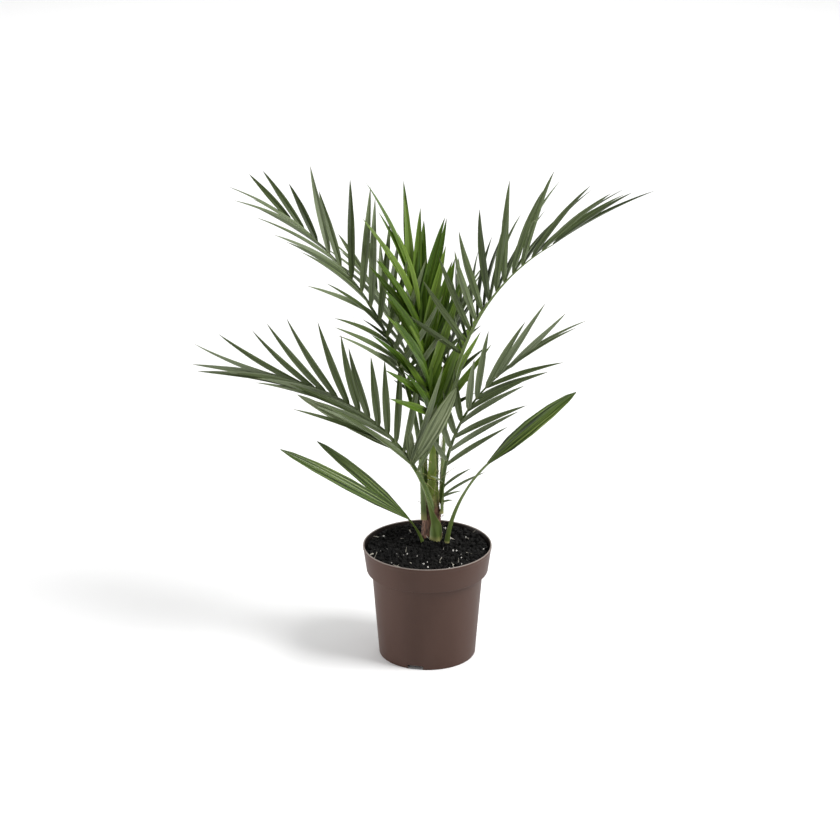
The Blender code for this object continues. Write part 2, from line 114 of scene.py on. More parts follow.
bpy.ops.mesh.primitive_plane_add(size=FLOOR_SIZE)
floor = bpy.context.object
floor.name = "floor"
floor_finish, _, floor_shader = new_finish("pale_floor", FLOOR_ROUGHNESS)
floor_shader.inputs["Base Color"].default_value = FLOOR_COLOUR
floor.data.materials.append(floor_finish)

world = bpy.data.worlds.new("studio")
bpy.context.scene.world = world
world.use_nodes = True
world.node_tree.nodes["Background"].inputs["Color"].default_value = WHITE
world.node_tree.nodes["Background"].inputs["Strength"].default_value = SURROUND
bpy.context.scene.view_settings.view_transform = "Standard"

for light_name, light_place, light_width, light_watts in LIGHTS:
    in_scene(light_name, area_light(light_name, light_watts, light_width), light_place, AIM)
in_scene("backdrop", area_light("backdrop", BACKDROP_WATTS, *BACKDROP_SIZE), BACKDROP_PLACE)

camera_data = bpy.data.cameras.new("camera")
camera_data.lens = CAMERA_LENS
camera_data.sensor_width = CAMERA_SENSOR
view_from = Vector((0.0, -math.cos(CAMERA_ELEVATION), math.sin(CAMERA_ELEVATION)))
bpy.context.scene.camera = in_scene("camera", camera_data, AIM + CAMERA_DISTANCE * view_from, AIM)

# --- Pot --------------------------------------------------------------------------------------
# An injection-moulded pot of thin taupe polypropylene with a stepped collar and a rolled lip.
# A drain channel runs under its floor, with three notches through the foot and three drain holes.
POT_SEGMENTS = 160
RIM_RADIUS = 0.075
POT_HEIGHT = 0.135
WALL = 0.0014
COLLAR_Z = POT_HEIGHT - 0.030
COLLAR_FOOT_RADIUS = 0.0708
BODY_TOP_RADIUS = 0.0645
BODY_FOOT_RADIUS = 0.0565
CHANNEL_HEIGHT = 0.0056
SEAT_RADIUS = 0.030
NOTCH_WIDTH = 0.0186
NOTCH_HEIGHT = 0.0048
NOTCH_COUNT = 3
NOTCH_ANGLE = 255.5
DRAIN_RADIUS = 0.004
DRAIN_RING_RADIUS = 0.0425
CUTTER_DEPTH = 0.010
CUTTER_SPARE = 0.001
POT_CREASE = 28
POT_COLOUR = (0.052, 0.024, 0.016)
POT_SCUFF_COLOUR = (0.066, 0.034, 0.025)
POT_GLOSSY, POT_DULL = 0.46, 0.60
# Painted shade: faces turned towards the pot's axis are darkened most of the way to near-black.
INNER_WALL_PAINTED_SHADE = (0.007, 0.006, 0.005)
PAINTED_SHADE_COVER = 0.88
INSIDE_FACE_LIMIT = -0.02
# Painted highlight: the top of the lip is coloured paler.
LIP_PAINTED_HIGHLIGHT = (0.200, 0.165, 0.145)
LIP_HIGHLIGHT_FROM = POT_HEIGHT - 0.0008


def add_node(tree, kind, inputs=None, **settings):
    """A new node with its settings made, and its inputs set to values or joined to sockets."""
    node = tree.nodes.new(kind)
    for label, value in settings.items():
        setattr(node, label, value)
    for label, value in (inputs or {}).items():
        if isinstance(value, bpy.types.NodeSocket):
            tree.links.new(value, node.inputs[label])
        else:
            node.inputs[label].default_value = value
    return node


def math_of(tree, operation, *values):
    """A Math node on sockets or numbers, as its result."""
    return add_node(tree, "ShaderNodeMath", dict(enumerate(values)), operation=operation).outputs[0]


def noise_over(tree, place, scale, detail=4.0, stretch=(1.0, 1.0, 1.0)):
    """Noise over a place that is drawn out by a stretch in each direction."""
    mapped = add_node(tree, "ShaderNodeMapping", {"Vector": place, "Scale": stretch})
    noise = add_node(tree, "ShaderNodeTexNoise", {
        "Vector": mapped.outputs["Vector"], "Scale": scale, "Detail": detail})
    return noise.outputs["Fac"]


def object_noise(tree, scale, detail=4.0, stretch=(1.0, 1.0, 1.0)):
    """Noise on Object coordinates."""
    place = add_node(tree, "ShaderNodeTexCoord").outputs["Object"]
    return noise_over(tree, place, scale, detail, stretch)


def ramp_over(tree, value, stops):
    """Colours along a value, from (position, colour) stops."""
    ramp = add_node(tree, "ShaderNodeValToRGB", {"Fac": value})
    elements = ramp.color_ramp.elements
    while len(elements) < len(stops):
        elements.new(0.5)
    for element, (position, colour) in zip(elements, stops):
        element.position = position
        element.color = (*colour, 1.0)
    return ramp.outputs["Color"]


def grey(value):
    return (value, value, value)


def laid_over(tree, share, under, over):
    """A plain colour laid by a share over a colour socket."""
    mix = add_node(tree, "ShaderNodeMix", {0: share, 6: under, 7: (*over, 1.0)}, data_type="RGBA")
    return mix.outputs[2]


def axis_of(tree, place, axis):
    return add_node(tree, "ShaderNodeSeparateXYZ", {0: place}).outputs[axis]


def coat(tree, shader, colour, relief, strength, distance):
    """Gives a shader its colour, and a fine relief from a height."""
    bump = add_node(tree, "ShaderNodeBump", {
        "Height": relief, "Strength": strength, "Distance": distance})
    tree.links.new(colour, shader.inputs["Base Color"])
    tree.links.new(bump.outputs["Normal"], shader.inputs["Normal"])


def moulded_plastic():
    """Dull taupe plastic: a faint grain, paler scuffs, a painted highlight on top of the lip and painted
    shade on the inner wall.
    """
    material, tree, shader = new_finish("taupe_plastic", roughness=0.5, specular=0.25)
    place = add_node(tree, "ShaderNodeTexCoord").outputs
    clouds = object_noise(tree, scale=28.0, detail=6.0, stretch=(1.0, 1.0, 0.35))
    plain = ramp_over(tree, clouds, ((0.35, POT_COLOUR), (0.80, POT_SCUFF_COLOUR)))
    # Painted shade on the inner wall: faces turned towards the axis take the dark colour.
    outward = add_node(tree, "ShaderNodeVectorMath", {0: place["Normal"], 1: place["Object"]},
                       operation="DOT_PRODUCT").outputs["Value"]
    inside = math_of(tree, "LESS_THAN", outward, INSIDE_FACE_LIMIT)
    shaded_inside = laid_over(tree, math_of(tree, "MULTIPLY", inside, PAINTED_SHADE_COVER), plain, INNER_WALL_PAINTED_SHADE)
    # Painted highlight: faces on top of the lip are laid over in a paler colour.
    lip = math_of(tree, "GREATER_THAN", axis_of(tree, place["Object"], "Z"), LIP_HIGHLIGHT_FROM)
    gloss = ramp_over(tree, clouds, ((0.30, grey(POT_GLOSSY)), (0.75, grey(POT_DULL))))
    tree.links.new(gloss, shader.inputs["Roughness"])
    coat(tree, shader, laid_over(tree, lip, shaded_inside, LIP_PAINTED_HIGHLIGHT),
         object_noise(tree, scale=1400.0, detail=2.0), strength=0.12, distance=0.00012)
    return material


def pot_profile():
    """(radius, height) up the outside from under the floor, and down the inside. The small
    numbers round its corners."""
    seat, foot, body = SEAT_RADIUS, BODY_FOOT_RADIUS, BODY_TOP_RADIUS
    collar, rim, top = COLLAR_FOOT_RADIUS, RIM_RADIUS, POT_HEIGHT
    floor_z = CHANNEL_HEIGHT + WALL
    underside = [
        (0.0, 0.0), (seat - 0.0006, 0.0), (seat, 0.0005), (seat + 0.0012, CHANNEL_HEIGHT),
        (foot - WALL - 0.0006, CHANNEL_HEIGHT), (foot - WALL, 0.0004), (foot - WALL + 0.0003, 0.0)]
    outside = [
        (foot - 0.0005, 0.0), (foot - 0.0001, 0.0002), (foot, 0.0007), (body, COLLAR_Z - 0.0035),
        (body + 0.0003, COLLAR_Z - 0.0026), (body + 0.0011, COLLAR_Z - 0.0018),
        (collar - 0.0012, COLLAR_Z - 0.0014), (collar - 0.0004, COLLAR_Z - 0.0009),
        (collar, COLLAR_Z), (rim - 0.0010, top - 0.0062), (rim - 0.0006, top - 0.0042)]
    rolled_lip = [
        (rim - 0.0001, top - 0.0030), (rim, top - 0.0014), (rim - 0.0002, top - 0.0005),
        (rim - 0.0007, top), (rim - WALL + 0.0002, top), (rim - WALL - 0.0003, top - 0.0005),
        (rim - WALL - 0.0006, top - 0.0016)]
    inside = [
        (collar - WALL, COLLAR_Z + 0.0014), (collar - WALL - 0.0012, COLLAR_Z + 0.0003),
        (body - WALL + 0.0004, COLLAR_Z - 0.0005), (body - WALL, COLLAR_Z - 0.0022),
        (foot - WALL + 0.0005, floor_z + 0.0012), (foot - WALL - 0.0008, floor_z),
        (seat - 0.0006, floor_z), (seat - 0.0014, WALL), (0.0, WALL)]
    return underside + outside + rolled_lip + inside


def body_of(name, shape):
    """An object of a finished shape, its faces turned outwards."""
    bmesh.ops.recalc_face_normals(shape, faces=shape.faces)
    mesh = bpy.data.meshes.new(name)
    shape.to_mesh(mesh)
    shape.free()
    return in_scene(name, mesh)


def turned_body(name, profile, segments):
    """A closed body about the pot's axis. Each ring is a radius, and a height or a function of
    x and y that gives it."""
    shape = bmesh.new()
    rings = []
    for radius, height in profile:
        corners = []
        for k in range(segments if radius else 1):
            x = radius * math.cos(math.tau * k / segments)
            y = radius * math.sin(math.tau * k / segments)
            corners.append(shape.verts.new((x, y, height(x, y) if callable(height) else height)))
        rings.append(corners if radius else corners * segments)
    for lower, upper in zip(rings, rings[1:]):
        for i in range(segments):
            j = (i + 1) % segments
            shape.faces.new(dict.fromkeys((lower[i], lower[j], upper[j], upper[i])))
    return body_of(name, shape)


def keep_result(obj):
    """Keeps the plain mesh that an object's modifiers make, and removes them."""
    graph = bpy.context.evaluated_depsgraph_get()
    mesh = bpy.data.meshes.new_from_object(obj.evaluated_get(graph))
    obj.modifiers.clear()
    obj.data = mesh


def cut_out(target, cutter, place):
    """Cuts one shape, set at a place, from another for good."""
    cutter.location = place
    modifier = target.modifiers.new("cut", "BOOLEAN")
    modifier.operation = "DIFFERENCE"
    modifier.object = cutter
    keep_result(target)
    bpy.data.objects.remove(cutter)


def smooth(obj, crease):
    """Smooth shading but for edges sharper than the crease, in degrees."""
    obj.data.shade_smooth()
    obj.data.set_sharp_from_angle(angle=math.radians(crease))


def dress(obj, finish, crease):
    obj.data.materials.clear()
    obj.data.materials.append(finish)
    smooth(obj, crease)


pot = turned_body("nursery_pot", pot_profile(), POT_SEGMENTS)
for turn in range(NOTCH_COUNT):
    angle = math.radians(NOTCH_ANGLE + 360 / NOTCH_COUNT * turn)
    outward = Vector((math.cos(angle), math.sin(angle), 0.0))
    bpy.ops.mesh.primitive_cube_add(size=1.0)
    notch = bpy.context.object
    notch.scale = (CUTTER_DEPTH, NOTCH_WIDTH, NOTCH_HEIGHT + 2 * CUTTER_SPARE)
    notch.rotation_euler = (0.0, 0.0, angle)
    cut_out(pot, notch, outward * (BODY_FOOT_RADIUS - CUTTER_SPARE)
            + Vector((0.0, 0.0, NOTCH_HEIGHT / 2 - CUTTER_SPARE)))
    bpy.ops.mesh.primitive_cylinder_add(vertices=24, radius=DRAIN_RADIUS, depth=CUTTER_DEPTH)
    cut_out(pot, bpy.context.object,
            outward * DRAIN_RING_RADIUS + Vector((0.0, 0.0, CHANNEL_HEIGHT + WALL / 2)))
dress(pot, moulded_plastic(), POT_CREASE)
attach(pot, "root")
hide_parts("pot")

# --- Peat -------------------------------------------------------------------------------------
# Dark, damp potting peat, filled to just under the rim and drawn up a little round the stem.
# Its surface is broken into crumbs, with white perlite grains and a few pale bark slivers.
SOIL_LEVEL = 0.1262
MOUND_HEIGHT = 0.0060
MOUND_TOP_RADIUS = 0.020
MOUND_FOOT_RADIUS = 0.034
STEM_PLACE = (0.0050, 0.0310)
GAP = 0.0003
SOIL_CLEARANCE = 0.0006
SOIL_RINGS = 44
SOIL_SEGMENTS = 150
SOIL_CREASE = 50
SOIL_EDGE = 0.99
SOIL_LUMP = 0.0022
# Each size of lump: how close its waves are, its weight and its turn
LUMP_WAVES = ((210.0, 0.42, 0.4), (430.0, 0.30, 1.7), (870.0, 0.28, 2.9))
LUMP_BEND = 1.7
LUMP_BENDS, LUMP_CROSSINGS = 0.6, 0.8
HEAP_RISE = 0.0048
HEAP_FROM, HEAP_FULL = 0.046, 0.068
STEM_KEEP_OUT = 0.011
WALL_KEEP_OUT = 0.0022
GRAIN_WOBBLE = 900.0
PEAT_DARK = (0.0010, 0.0010, 0.0010)
PEAT_LIGHT = (0.0060, 0.0058, 0.0055)
CRUMB_COLOUR = (0.0095, 0.0090, 0.0082)
PERLITE_COLOUR = (0.62, 0.60, 0.56)
SLIVER_COLOUR = (0.50, 0.47, 0.40)
# Each kind of grain: count, smallest and largest size, stretch, lift off the peat, seed, colour
# and the share of it that its darkest parts have
GRAINS = {
    "peat_crumbs": (2400, 0.0009, 0.0042, (1.0, 0.75, 0.60), 0.0001, 11, CRUMB_COLOUR, 0.06),
    "perlite_grains": (30, 0.0006, 0.0017, (1.0, 0.85, 0.75), 0.0022, 23, PERLITE_COLOUR, 0.75),
    "bark_slivers": (24, 0.0010, 0.0030, (2.6, 0.24, 0.16), 0.0026, 37, SLIVER_COLOUR, 0.55)}


def held(share):
    """A share kept between 0 and 1."""
    return min(max(share, 0.0), 1.0)


def from_stem(x, y):
    return math.hypot(x - STEM_PLACE[0], y - STEM_PLACE[1])


def soil_height(x, y):
    """The peat's surface: level, with a smooth low mound about the stem."""
    share = held((from_stem(x, y) - MOUND_TOP_RADIUS) / (MOUND_FOOT_RADIUS - MOUND_TOP_RADIUS))
    return SOIL_LEVEL + MOUND_HEIGHT * (1 - share * share * (3 - 2 * share))


def lump(x, y):
    """Broken ground: a few sizes of wave added together, between about -1 and 1."""
    total = 0.0
    for scale, weight, turn in LUMP_WAVES:
        u = x * math.cos(turn) - y * math.sin(turn)
        v = x * math.sin(turn) + y * math.cos(turn)
        bend = LUMP_BEND * math.sin(scale * LUMP_BENDS * v)
        total += weight * math.sin(scale * u + bend) * math.cos(scale * LUMP_CROSSINGS * v)
    return total


def peat_height(x, y):
    """The broken surface, heaped a little against the wall behind the plant."""
    outward = held((math.hypot(x, y) - HEAP_FROM) / (HEAP_FULL - HEAP_FROM))
    behind = 0.5 + 0.5 * math.sin(math.atan2(y, x))
    heap = HEAP_RISE * outward * outward * (3 - 2 * outward) * behind
    return soil_height(x, y) + SOIL_LUMP * lump(x, y) + heap


def peat_profile(top):
    """(radius, height) up the side of the fill, clear of the pot, and in over its surface."""
    wall = WALL + GAP
    low = CHANNEL_HEIGHT + WALL + GAP
    sides = [(0.0, low), (BODY_FOOT_RADIUS - wall - 0.0012, low), (BODY_FOOT_RADIUS - wall, low + 0.0016),
             (BODY_TOP_RADIUS - wall - 0.0002, COLLAR_Z - 0.0022),
             (BODY_TOP_RADIUS - wall, COLLAR_Z + 0.0004),
             (COLLAR_FOOT_RADIUS - wall - 0.0016, COLLAR_Z + 0.0018), (top, SOIL_LEVEL - 0.0012)]
    surface = [(top * (SOIL_EDGE - SOIL_EDGE * ring / SOIL_RINGS), peat_height)
               for ring in range(SOIL_RINGS)]
    return sides + surface + [(0.0, soil_height)]


def peat_finish():
    material, tree, shader = new_finish("damp_peat", roughness=0.85, specular=0.15)
    grit = object_noise(tree, scale=900.0, detail=8.0)
    colour = ramp_over(tree, grit, ((0.40, PEAT_DARK), (0.72, PEAT_LIGHT)))
    coat(tree, shader, colour, grit, strength=0.7, distance=0.0008)
    return material


def grain_finish(name, colour, darker):
    """A matt grain whose shade varies a little from one to the next."""
    material, tree, shader = new_finish(name, roughness=0.75, specular=0.12)
    tone = object_noise(tree, scale=260.0, detail=3.0)
    shades = ramp_over(tree, tone, ((0.35, tuple(c * darker for c in colour)), (0.65, colour)))
    coat(tree, shader, shades, object_noise(tree, scale=2600.0, detail=3.0), strength=0.5, distance=0.0002)
    return material


def tree_with_inputs(name, inputs):
    """A Geometry Nodes tree, the sockets of its inputs by name, and its output node. Inputs are
    given as a type for each name."""
    tree = bpy.data.node_groups.new(name, "GeometryNodeTree")
    tree.interface.new_socket("Geometry", in_out="INPUT", socket_type="NodeSocketGeometry")
    tree.interface.new_socket("Geometry", in_out="OUTPUT", socket_type="NodeSocketGeometry")
    for label, kind in inputs.items():
        tree.interface.new_socket(label, in_out="INPUT", socket_type="NodeSocket" + kind)
    return tree, tree.nodes.new("NodeGroupInput").outputs, tree.nodes.new("NodeGroupOutput")


def finish_tree(tree, geometry, finish, made):
    """Ends a tree: what it made takes its finish."""
    coated = add_node(tree, "GeometryNodeSetMaterial", {"Geometry": geometry, "Material": finish})
    tree.links.new(coated.outputs["Geometry"], made.inputs["Geometry"])
    return tree


def run_tree(obj, tree, values):
    """Runs a tree on an object with its named inputs set, and keeps the plain mesh it makes."""
    modifier = obj.modifiers.new(tree.name, "NODES")
    modifier.node_group = tree
    for item in tree.interface.items_tree:
        if item.in_out == "INPUT" and item.name in values:
            modifier[item.identifier] = values[item.name]
    keep_result(obj)


def vector_of(tree, operation, first, second=None, scale=None):
    """A Vector Math node on sockets or vectors, as its result."""
    given = {0: first, 1: second, "Scale": scale}
    inputs = {label: value for label, value in given.items() if value is not None}
    return add_node(tree, "ShaderNodeVectorMath", inputs, operation=operation).outputs[0]


def realized(tree, instances):
    return add_node(tree, "GeometryNodeRealizeInstances", {"Geometry": instances}).outputs["Geometry"]


def scatter_tree():
    """Small rough lumps strewn on the points given, turned and sized at random."""
    tree, given, made = tree_with_inputs("strewn_lumps", {
        "Smallest": "Float", "Largest": "Float", "Stretch": "Vector", "Seed": "Int",
        "Finish": "Material"})
    ball = add_node(tree, "GeometryNodeMeshIcoSphere", {"Subdivisions": 1, "Radius": 1.0})
    shaped = add_node(tree, "GeometryNodeTransform", {
        "Geometry": ball.outputs["Mesh"], "Scale": given["Stretch"]})
    spin = add_node(tree, "FunctionNodeRandomValue", {
        "Max": (math.pi, math.pi, math.tau), "Seed": given["Seed"]}, data_type="FLOAT_VECTOR")
    size = add_node(tree, "FunctionNodeRandomValue", {
        2: given["Smallest"], 3: given["Largest"], "Seed": given["Seed"]})
    strew = add_node(tree, "GeometryNodeInstanceOnPoints", {
        "Points": given["Geometry"], "Instance": shaped.outputs["Geometry"],
        "Rotation": spin.outputs["Value"], "Scale": size.outputs[1]})
    wobble = add_node(tree, "ShaderNodeTexNoise", {"Scale": GRAIN_WOBBLE}).outputs["Color"]
    centred = vector_of(tree, "SUBTRACT", wobble, (0.5, 0.5, 0.5))
    roughened = add_node(tree, "GeometryNodeSetPosition", {
        "Geometry": realized(tree, strew.outputs["Instances"]),
        "Offset": vector_of(tree, "SCALE", centred, scale=given["Largest"])})
    return finish_tree(tree, roughened.outputs["Geometry"], given["Finish"], made)


def mesh_object(name, points, edges=()):
    """An object of loose points, or of open edges between them."""
    mesh = bpy.data.meshes.new(name)
    mesh.from_pydata([tuple(map(float, point)) for point in points], list(edges), [])
    return in_scene(name, mesh)


def strewn(count, reach, lift, seed):
    """Points spread evenly over the peat's surface, but for the foot of the stem."""
    chance = np.random.default_rng(seed)
    points = []
    while len(points) < count:
        x, y = chance.uniform(-reach, reach, 2)
        if math.hypot(x, y) < reach and from_stem(x, y) >= STEM_KEEP_OUT:
            points.append((x, y, peat_height(x, y) + lift))
    return points


rim_slope = (RIM_RADIUS - COLLAR_FOOT_RADIUS) / (POT_HEIGHT - COLLAR_Z)
soil_radius = (COLLAR_FOOT_RADIUS + rim_slope * (SOIL_LEVEL - COLLAR_Z) - (WALL + GAP)
               - SOIL_CLEARANCE)
peat_bed = turned_body("peat_bed", peat_profile(soil_radius), SOIL_SEGMENTS)
dress(peat_bed, peat_finish(), SOIL_CREASE)
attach(peat_bed, "root")
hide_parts("soil")

lumps = scatter_tree()
for name, (count, smallest, largest, stretch, lift, seed, colour, darker) in GRAINS.items():
    grains = mesh_object(name, strewn(count, soil_radius - WALL_KEEP_OUT, lift, seed))
    run_tree(grains, lumps, {"Smallest": smallest, "Largest": largest, "Stretch": stretch,
                             "Seed": seed, "Finish": grain_finish(name, colour, darker)})
    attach(grains, "root")

# --- Stem -------------------------------------------------------------------------------------
# The short trunk of a young palm: brown woven fibre left by old leaf bases, tapering upwards
# from a flat foot on the peat. Loose fibres curl off it, and strands of torn sheath climb over it.
STEM_HEIGHT = 0.070
STEM_FOOT = SOIL_LEVEL + MOUND_HEIGHT + GAP
STEM_LEAN = (0.0010, 0.0020)
STEM_RADII = (0.0128, 0.0112, 0.0104, 0.0098, 0.0090, 0.0080, 0.0066, 0.0045)
STEM_RIDGE = 0.0006
STEM_RIDGES = 3
STEM_TWIST = 2.4
STEM_SIDES = 72
STEM_ROWS = 90
STEM_CREASE = 60
STEM_FIBRE_RELIEF = 0.00035
# The two crossing sets of fibres: how often each comes round, and how steeply it climbs
STEM_WEAVE = ((26, 70), (17, -95))
STEM_SCALES = 9
STEM_SCALE_STEP = 0.0004
FIBRE_COUNT = 62
FIBRE_STEPS = 7
FIBRE_RADIUS = 0.00016
FIBRE_LENGTHS = (0.006, 0.015)
FIBRE_RISE = 0.35
FIBRE_PLACES = (0.06, 0.88)
FIBRE_CURLS = (0.3, 1.5)
FIBRE_ASIDE = 0.7
FIBRE_SEED = 5
STRAND_COUNT = 54
STRAND_STEPS = 7
STRAND_RADIUS = 0.00024
STRAND_HEIGHTS = (0.035, 0.105)
STRAND_LENGTHS = (0.012, 0.032)
STRAND_REACHES = (0.007, 0.0125)
STRAND_CLIMBS = (0.4, 1.2)
STRAND_AROUND = 1.2
STRAND_PARTING = 0.06
STRAND_SEED = 9
STRAW = (0.360, 0.330, 0.160)
FIBRE_DARK = (0.030, 0.014, 0.009)
FIBRE_LIGHT = (0.230, 0.115, 0.070)
SHEATH_GREEN = (0.120, 0.165, 0.018)
SHEATH_FROM, SHEATH_FULL = 0.168, 0.188


def between(values, t):
    """A value between those given at equal steps."""
    return float(np.interp(t, np.linspace(0.0, 1.0, len(values)), values))


def unit(vector):
    return vector / np.linalg.norm(vector)


def level(angle):
    """The level direction at an angle round an upright axis."""
    return np.array([math.cos(angle), math.sin(angle), 0.0])


def stem_centre(height):
    share = height / STEM_HEIGHT
    return np.array([STEM_PLACE[0] + STEM_LEAN[0] * share, STEM_PLACE[1] + STEM_LEAN[1] * share,
                     STEM_FOOT + height])


def stem_surface(angle, share):
    """The ridged stem, with the crossed relief of its fibres and the steps of its old scales."""
    ridge = STEM_RIDGE * math.cos(STEM_RIDGES * angle + STEM_TWIST * share * (len(STEM_RADII) - 1))
    weave = math.prod(math.sin(often * angle + climb * share) for often, climb in STEM_WEAVE)
    step = (share * STEM_SCALES) % 1.0
    out = between(STEM_RADII, share) + ridge + STEM_FIBRE_RELIEF * weave - STEM_SCALE_STEP * step
    return stem_centre(share * STEM_HEIGHT) + out * level(angle)


def closed_skin(name, rings):
    """A closed body through rings of points, with caps, and a UV map round and along it."""
    shape = bmesh.new()
    layer = shape.loops.layers.uv.new("UVMap")
    rows = [[shape.verts.new(tuple(map(float, p))) for p in ring] for ring in rings]
    count = len(rings[0])
    last = len(rings) - 1
    for k in range(last):
        for i in range(count):
            j = (i + 1) % count
            face = shape.faces.new((rows[k][i], rows[k][j], rows[k + 1][j], rows[k + 1][i]))
            spots = ((i, k), (i + 1, k), (i + 1, k + 1), (i, k + 1))
            for loop, (around, along) in zip(face.loops, spots):
                loop[layer].uv = (around / count, along / last)
    shape.faces.new(tuple(reversed(rows[0])))
    shape.faces.new(tuple(rows[-1]))
    return body_of(name, shape)


def fibre_finish():
    """Brown woven fibre that turns to green sheath higher up."""
    material, tree, shader = new_finish("stem_fibre", roughness=0.85)
    weave = object_noise(tree, scale=520.0, detail=6.0, stretch=(1.0, 1.0, 0.18))
    brown = ramp_over(tree, weave, ((0.32, FIBRE_DARK), (0.70, FIBRE_LIGHT)))
    place = add_node(tree, "ShaderNodeTexCoord").outputs["Object"]
    green = add_node(tree, "ShaderNodeMapRange", {
        "Value": axis_of(tree, place, "Z"), "From Min": SHEATH_FROM, "From Max": SHEATH_FULL})
    colour = laid_over(tree, green.outputs["Result"], brown, SHEATH_GREEN)
    coat(tree, shader, colour, weave, strength=0.8, distance=0.0006)
    return material


def fibre_tree():
    """Thin round fibres along the lines given."""
    tree, given, made = tree_with_inputs("loose_fibres", {"Radius": "Float", "Finish": "Material"})
    curves = add_node(tree, "GeometryNodeMeshToCurve", {"Mesh": given["Geometry"]})
    ring = add_node(tree, "GeometryNodeCurvePrimitiveCircle", {
        "Resolution": 5, "Radius": given["Radius"]})
    tubes = add_node(tree, "GeometryNodeCurveToMesh", {
        "Curve": curves.outputs["Curve"], "Profile Curve": ring.outputs["Curve"], "Fill Caps": True})
    return finish_tree(tree, realized(tree, tubes.outputs["Mesh"]), given["Finish"], made)


def fibre_object(name, lines, radius, finish):
    """An object of fibres, one along each list of points."""
    points, edges = [], []
    for line in lines:
        first = len(points)
        points.extend(line)
        edges.extend((first + k, first + k + 1) for k in range(len(line) - 1))
    obj = mesh_object(name, points, edges)
    run_tree(obj, fibre_tree(), {"Radius": radius, "Finish": finish})
    return obj


def curling_fibres():
    """Short strands that leave the stem, rise and curl outward, each a little different."""
    chance = np.random.default_rng(FIBRE_SEED)
    lines = []
    for _ in range(FIBRE_COUNT):
        angle, share = chance.uniform(0, math.tau), chance.uniform(*FIBRE_PLACES)
        length, curl = chance.uniform(*FIBRE_LENGTHS), chance.uniform(*FIBRE_CURLS)
        out = level(angle)
        aside = np.array([-out[1], out[0], 0.0]) * chance.uniform(-FIBRE_ASIDE, FIBRE_ASIDE)
        line = [stem_surface(angle, share) - out * STEM_RIDGE]
        for step in range(FIBRE_STEPS):
            lean = FIBRE_RISE + curl * step / (FIBRE_STEPS - 1)
            way = (out * math.sin(lean) + aside * step / (FIBRE_STEPS - 1)
                   + np.array([0, 0, math.cos(lean)]))
            line.append(line[-1] + unit(way) * length / FIBRE_STEPS)
        lines.append(line)
    return lines


def sheath_strands():
    """Strands of the torn leaf sheaths: they climb and cross between the stalks' feet."""
    chance = np.random.default_rng(STRAND_SEED)
    lines = []
    for _ in range(STRAND_COUNT):
        angle, height = chance.uniform(0, math.tau), chance.uniform(*STRAND_HEIGHTS)
        out = level(angle)
        around = np.array([-out[1], out[0], 0.0]) * chance.uniform(-STRAND_AROUND, STRAND_AROUND)
        length = chance.uniform(*STRAND_LENGTHS)
        line = [stem_centre(height) + out * chance.uniform(*STRAND_REACHES)]
        for step in range(STRAND_STEPS):
            climb = np.array([0, 0, chance.uniform(*STRAND_CLIMBS)])
            way = around + out * STRAND_PARTING * step + climb
            line.append(line[-1] + unit(way) * length / STRAND_STEPS)
        lines.append(line)
    return lines


stem = closed_skin("fibrous_stem", [
    [stem_surface(math.tau * i / STEM_SIDES, row / STEM_ROWS) for i in range(STEM_SIDES)]
    for row in range(STEM_ROWS + 1)])
fibre = fibre_finish()
dress(stem, fibre, STEM_CREASE)
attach(stem, "root")
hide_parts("stem")

fibres = fibre_object("stem_fibres", curling_fibres(), FIBRE_RADIUS, fibre)
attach(fibres, "root")

strands = fibre_object("sheath_strands", sheath_strands(), STRAND_RADIUS,
                       grain_finish("sheath_straw", STRAW, darker=0.5))
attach(strands, "root")

# --- Stalks and ribs --------------------------------------------------------------------------
# Each frond has a firm green stalk, channelled above and rounded below, that clasps the stem at
# its foot and runs on as the tapering rib of the blade. Its edges are pale.
PATH_STEPS = 48
STALK_DEPTH = 0.78
STALK_EDGE = 0.45
STALK_CHANNEL = 0.20
STALK_SWELL = (1.6, 0.75)
STALK_ROWS = 110
STALK_SIDES = 22
STALK_CREASE = 40
RIB_TIP_WIDTH = 0.0014
FOOT_SHARE = 0.030
STALK_TONES = {"pale": (0.200, 0.230, 0.085), "green": (0.080, 0.120, 0.020),
               "deep": (0.040, 0.070, 0.010), "foot": (0.330, 0.310, 0.120)}
SHEATH_TONES = {"pale": (0.300, 0.360, 0.060), "green": (0.165, 0.230, 0.016),
                "deep": (0.110, 0.170, 0.010), "foot": (0.240, 0.260, 0.040)}
# Where each tone lies round a stalk: edge, channel, edge, underside, edge
TONE_STOPS = ((0.0, "pale"), (0.055, "green"), (0.25, "deep"), (0.445, "green"), (0.50, "pale"),
              (0.555, "green"), (0.945, "green"), (1.0, "pale"))

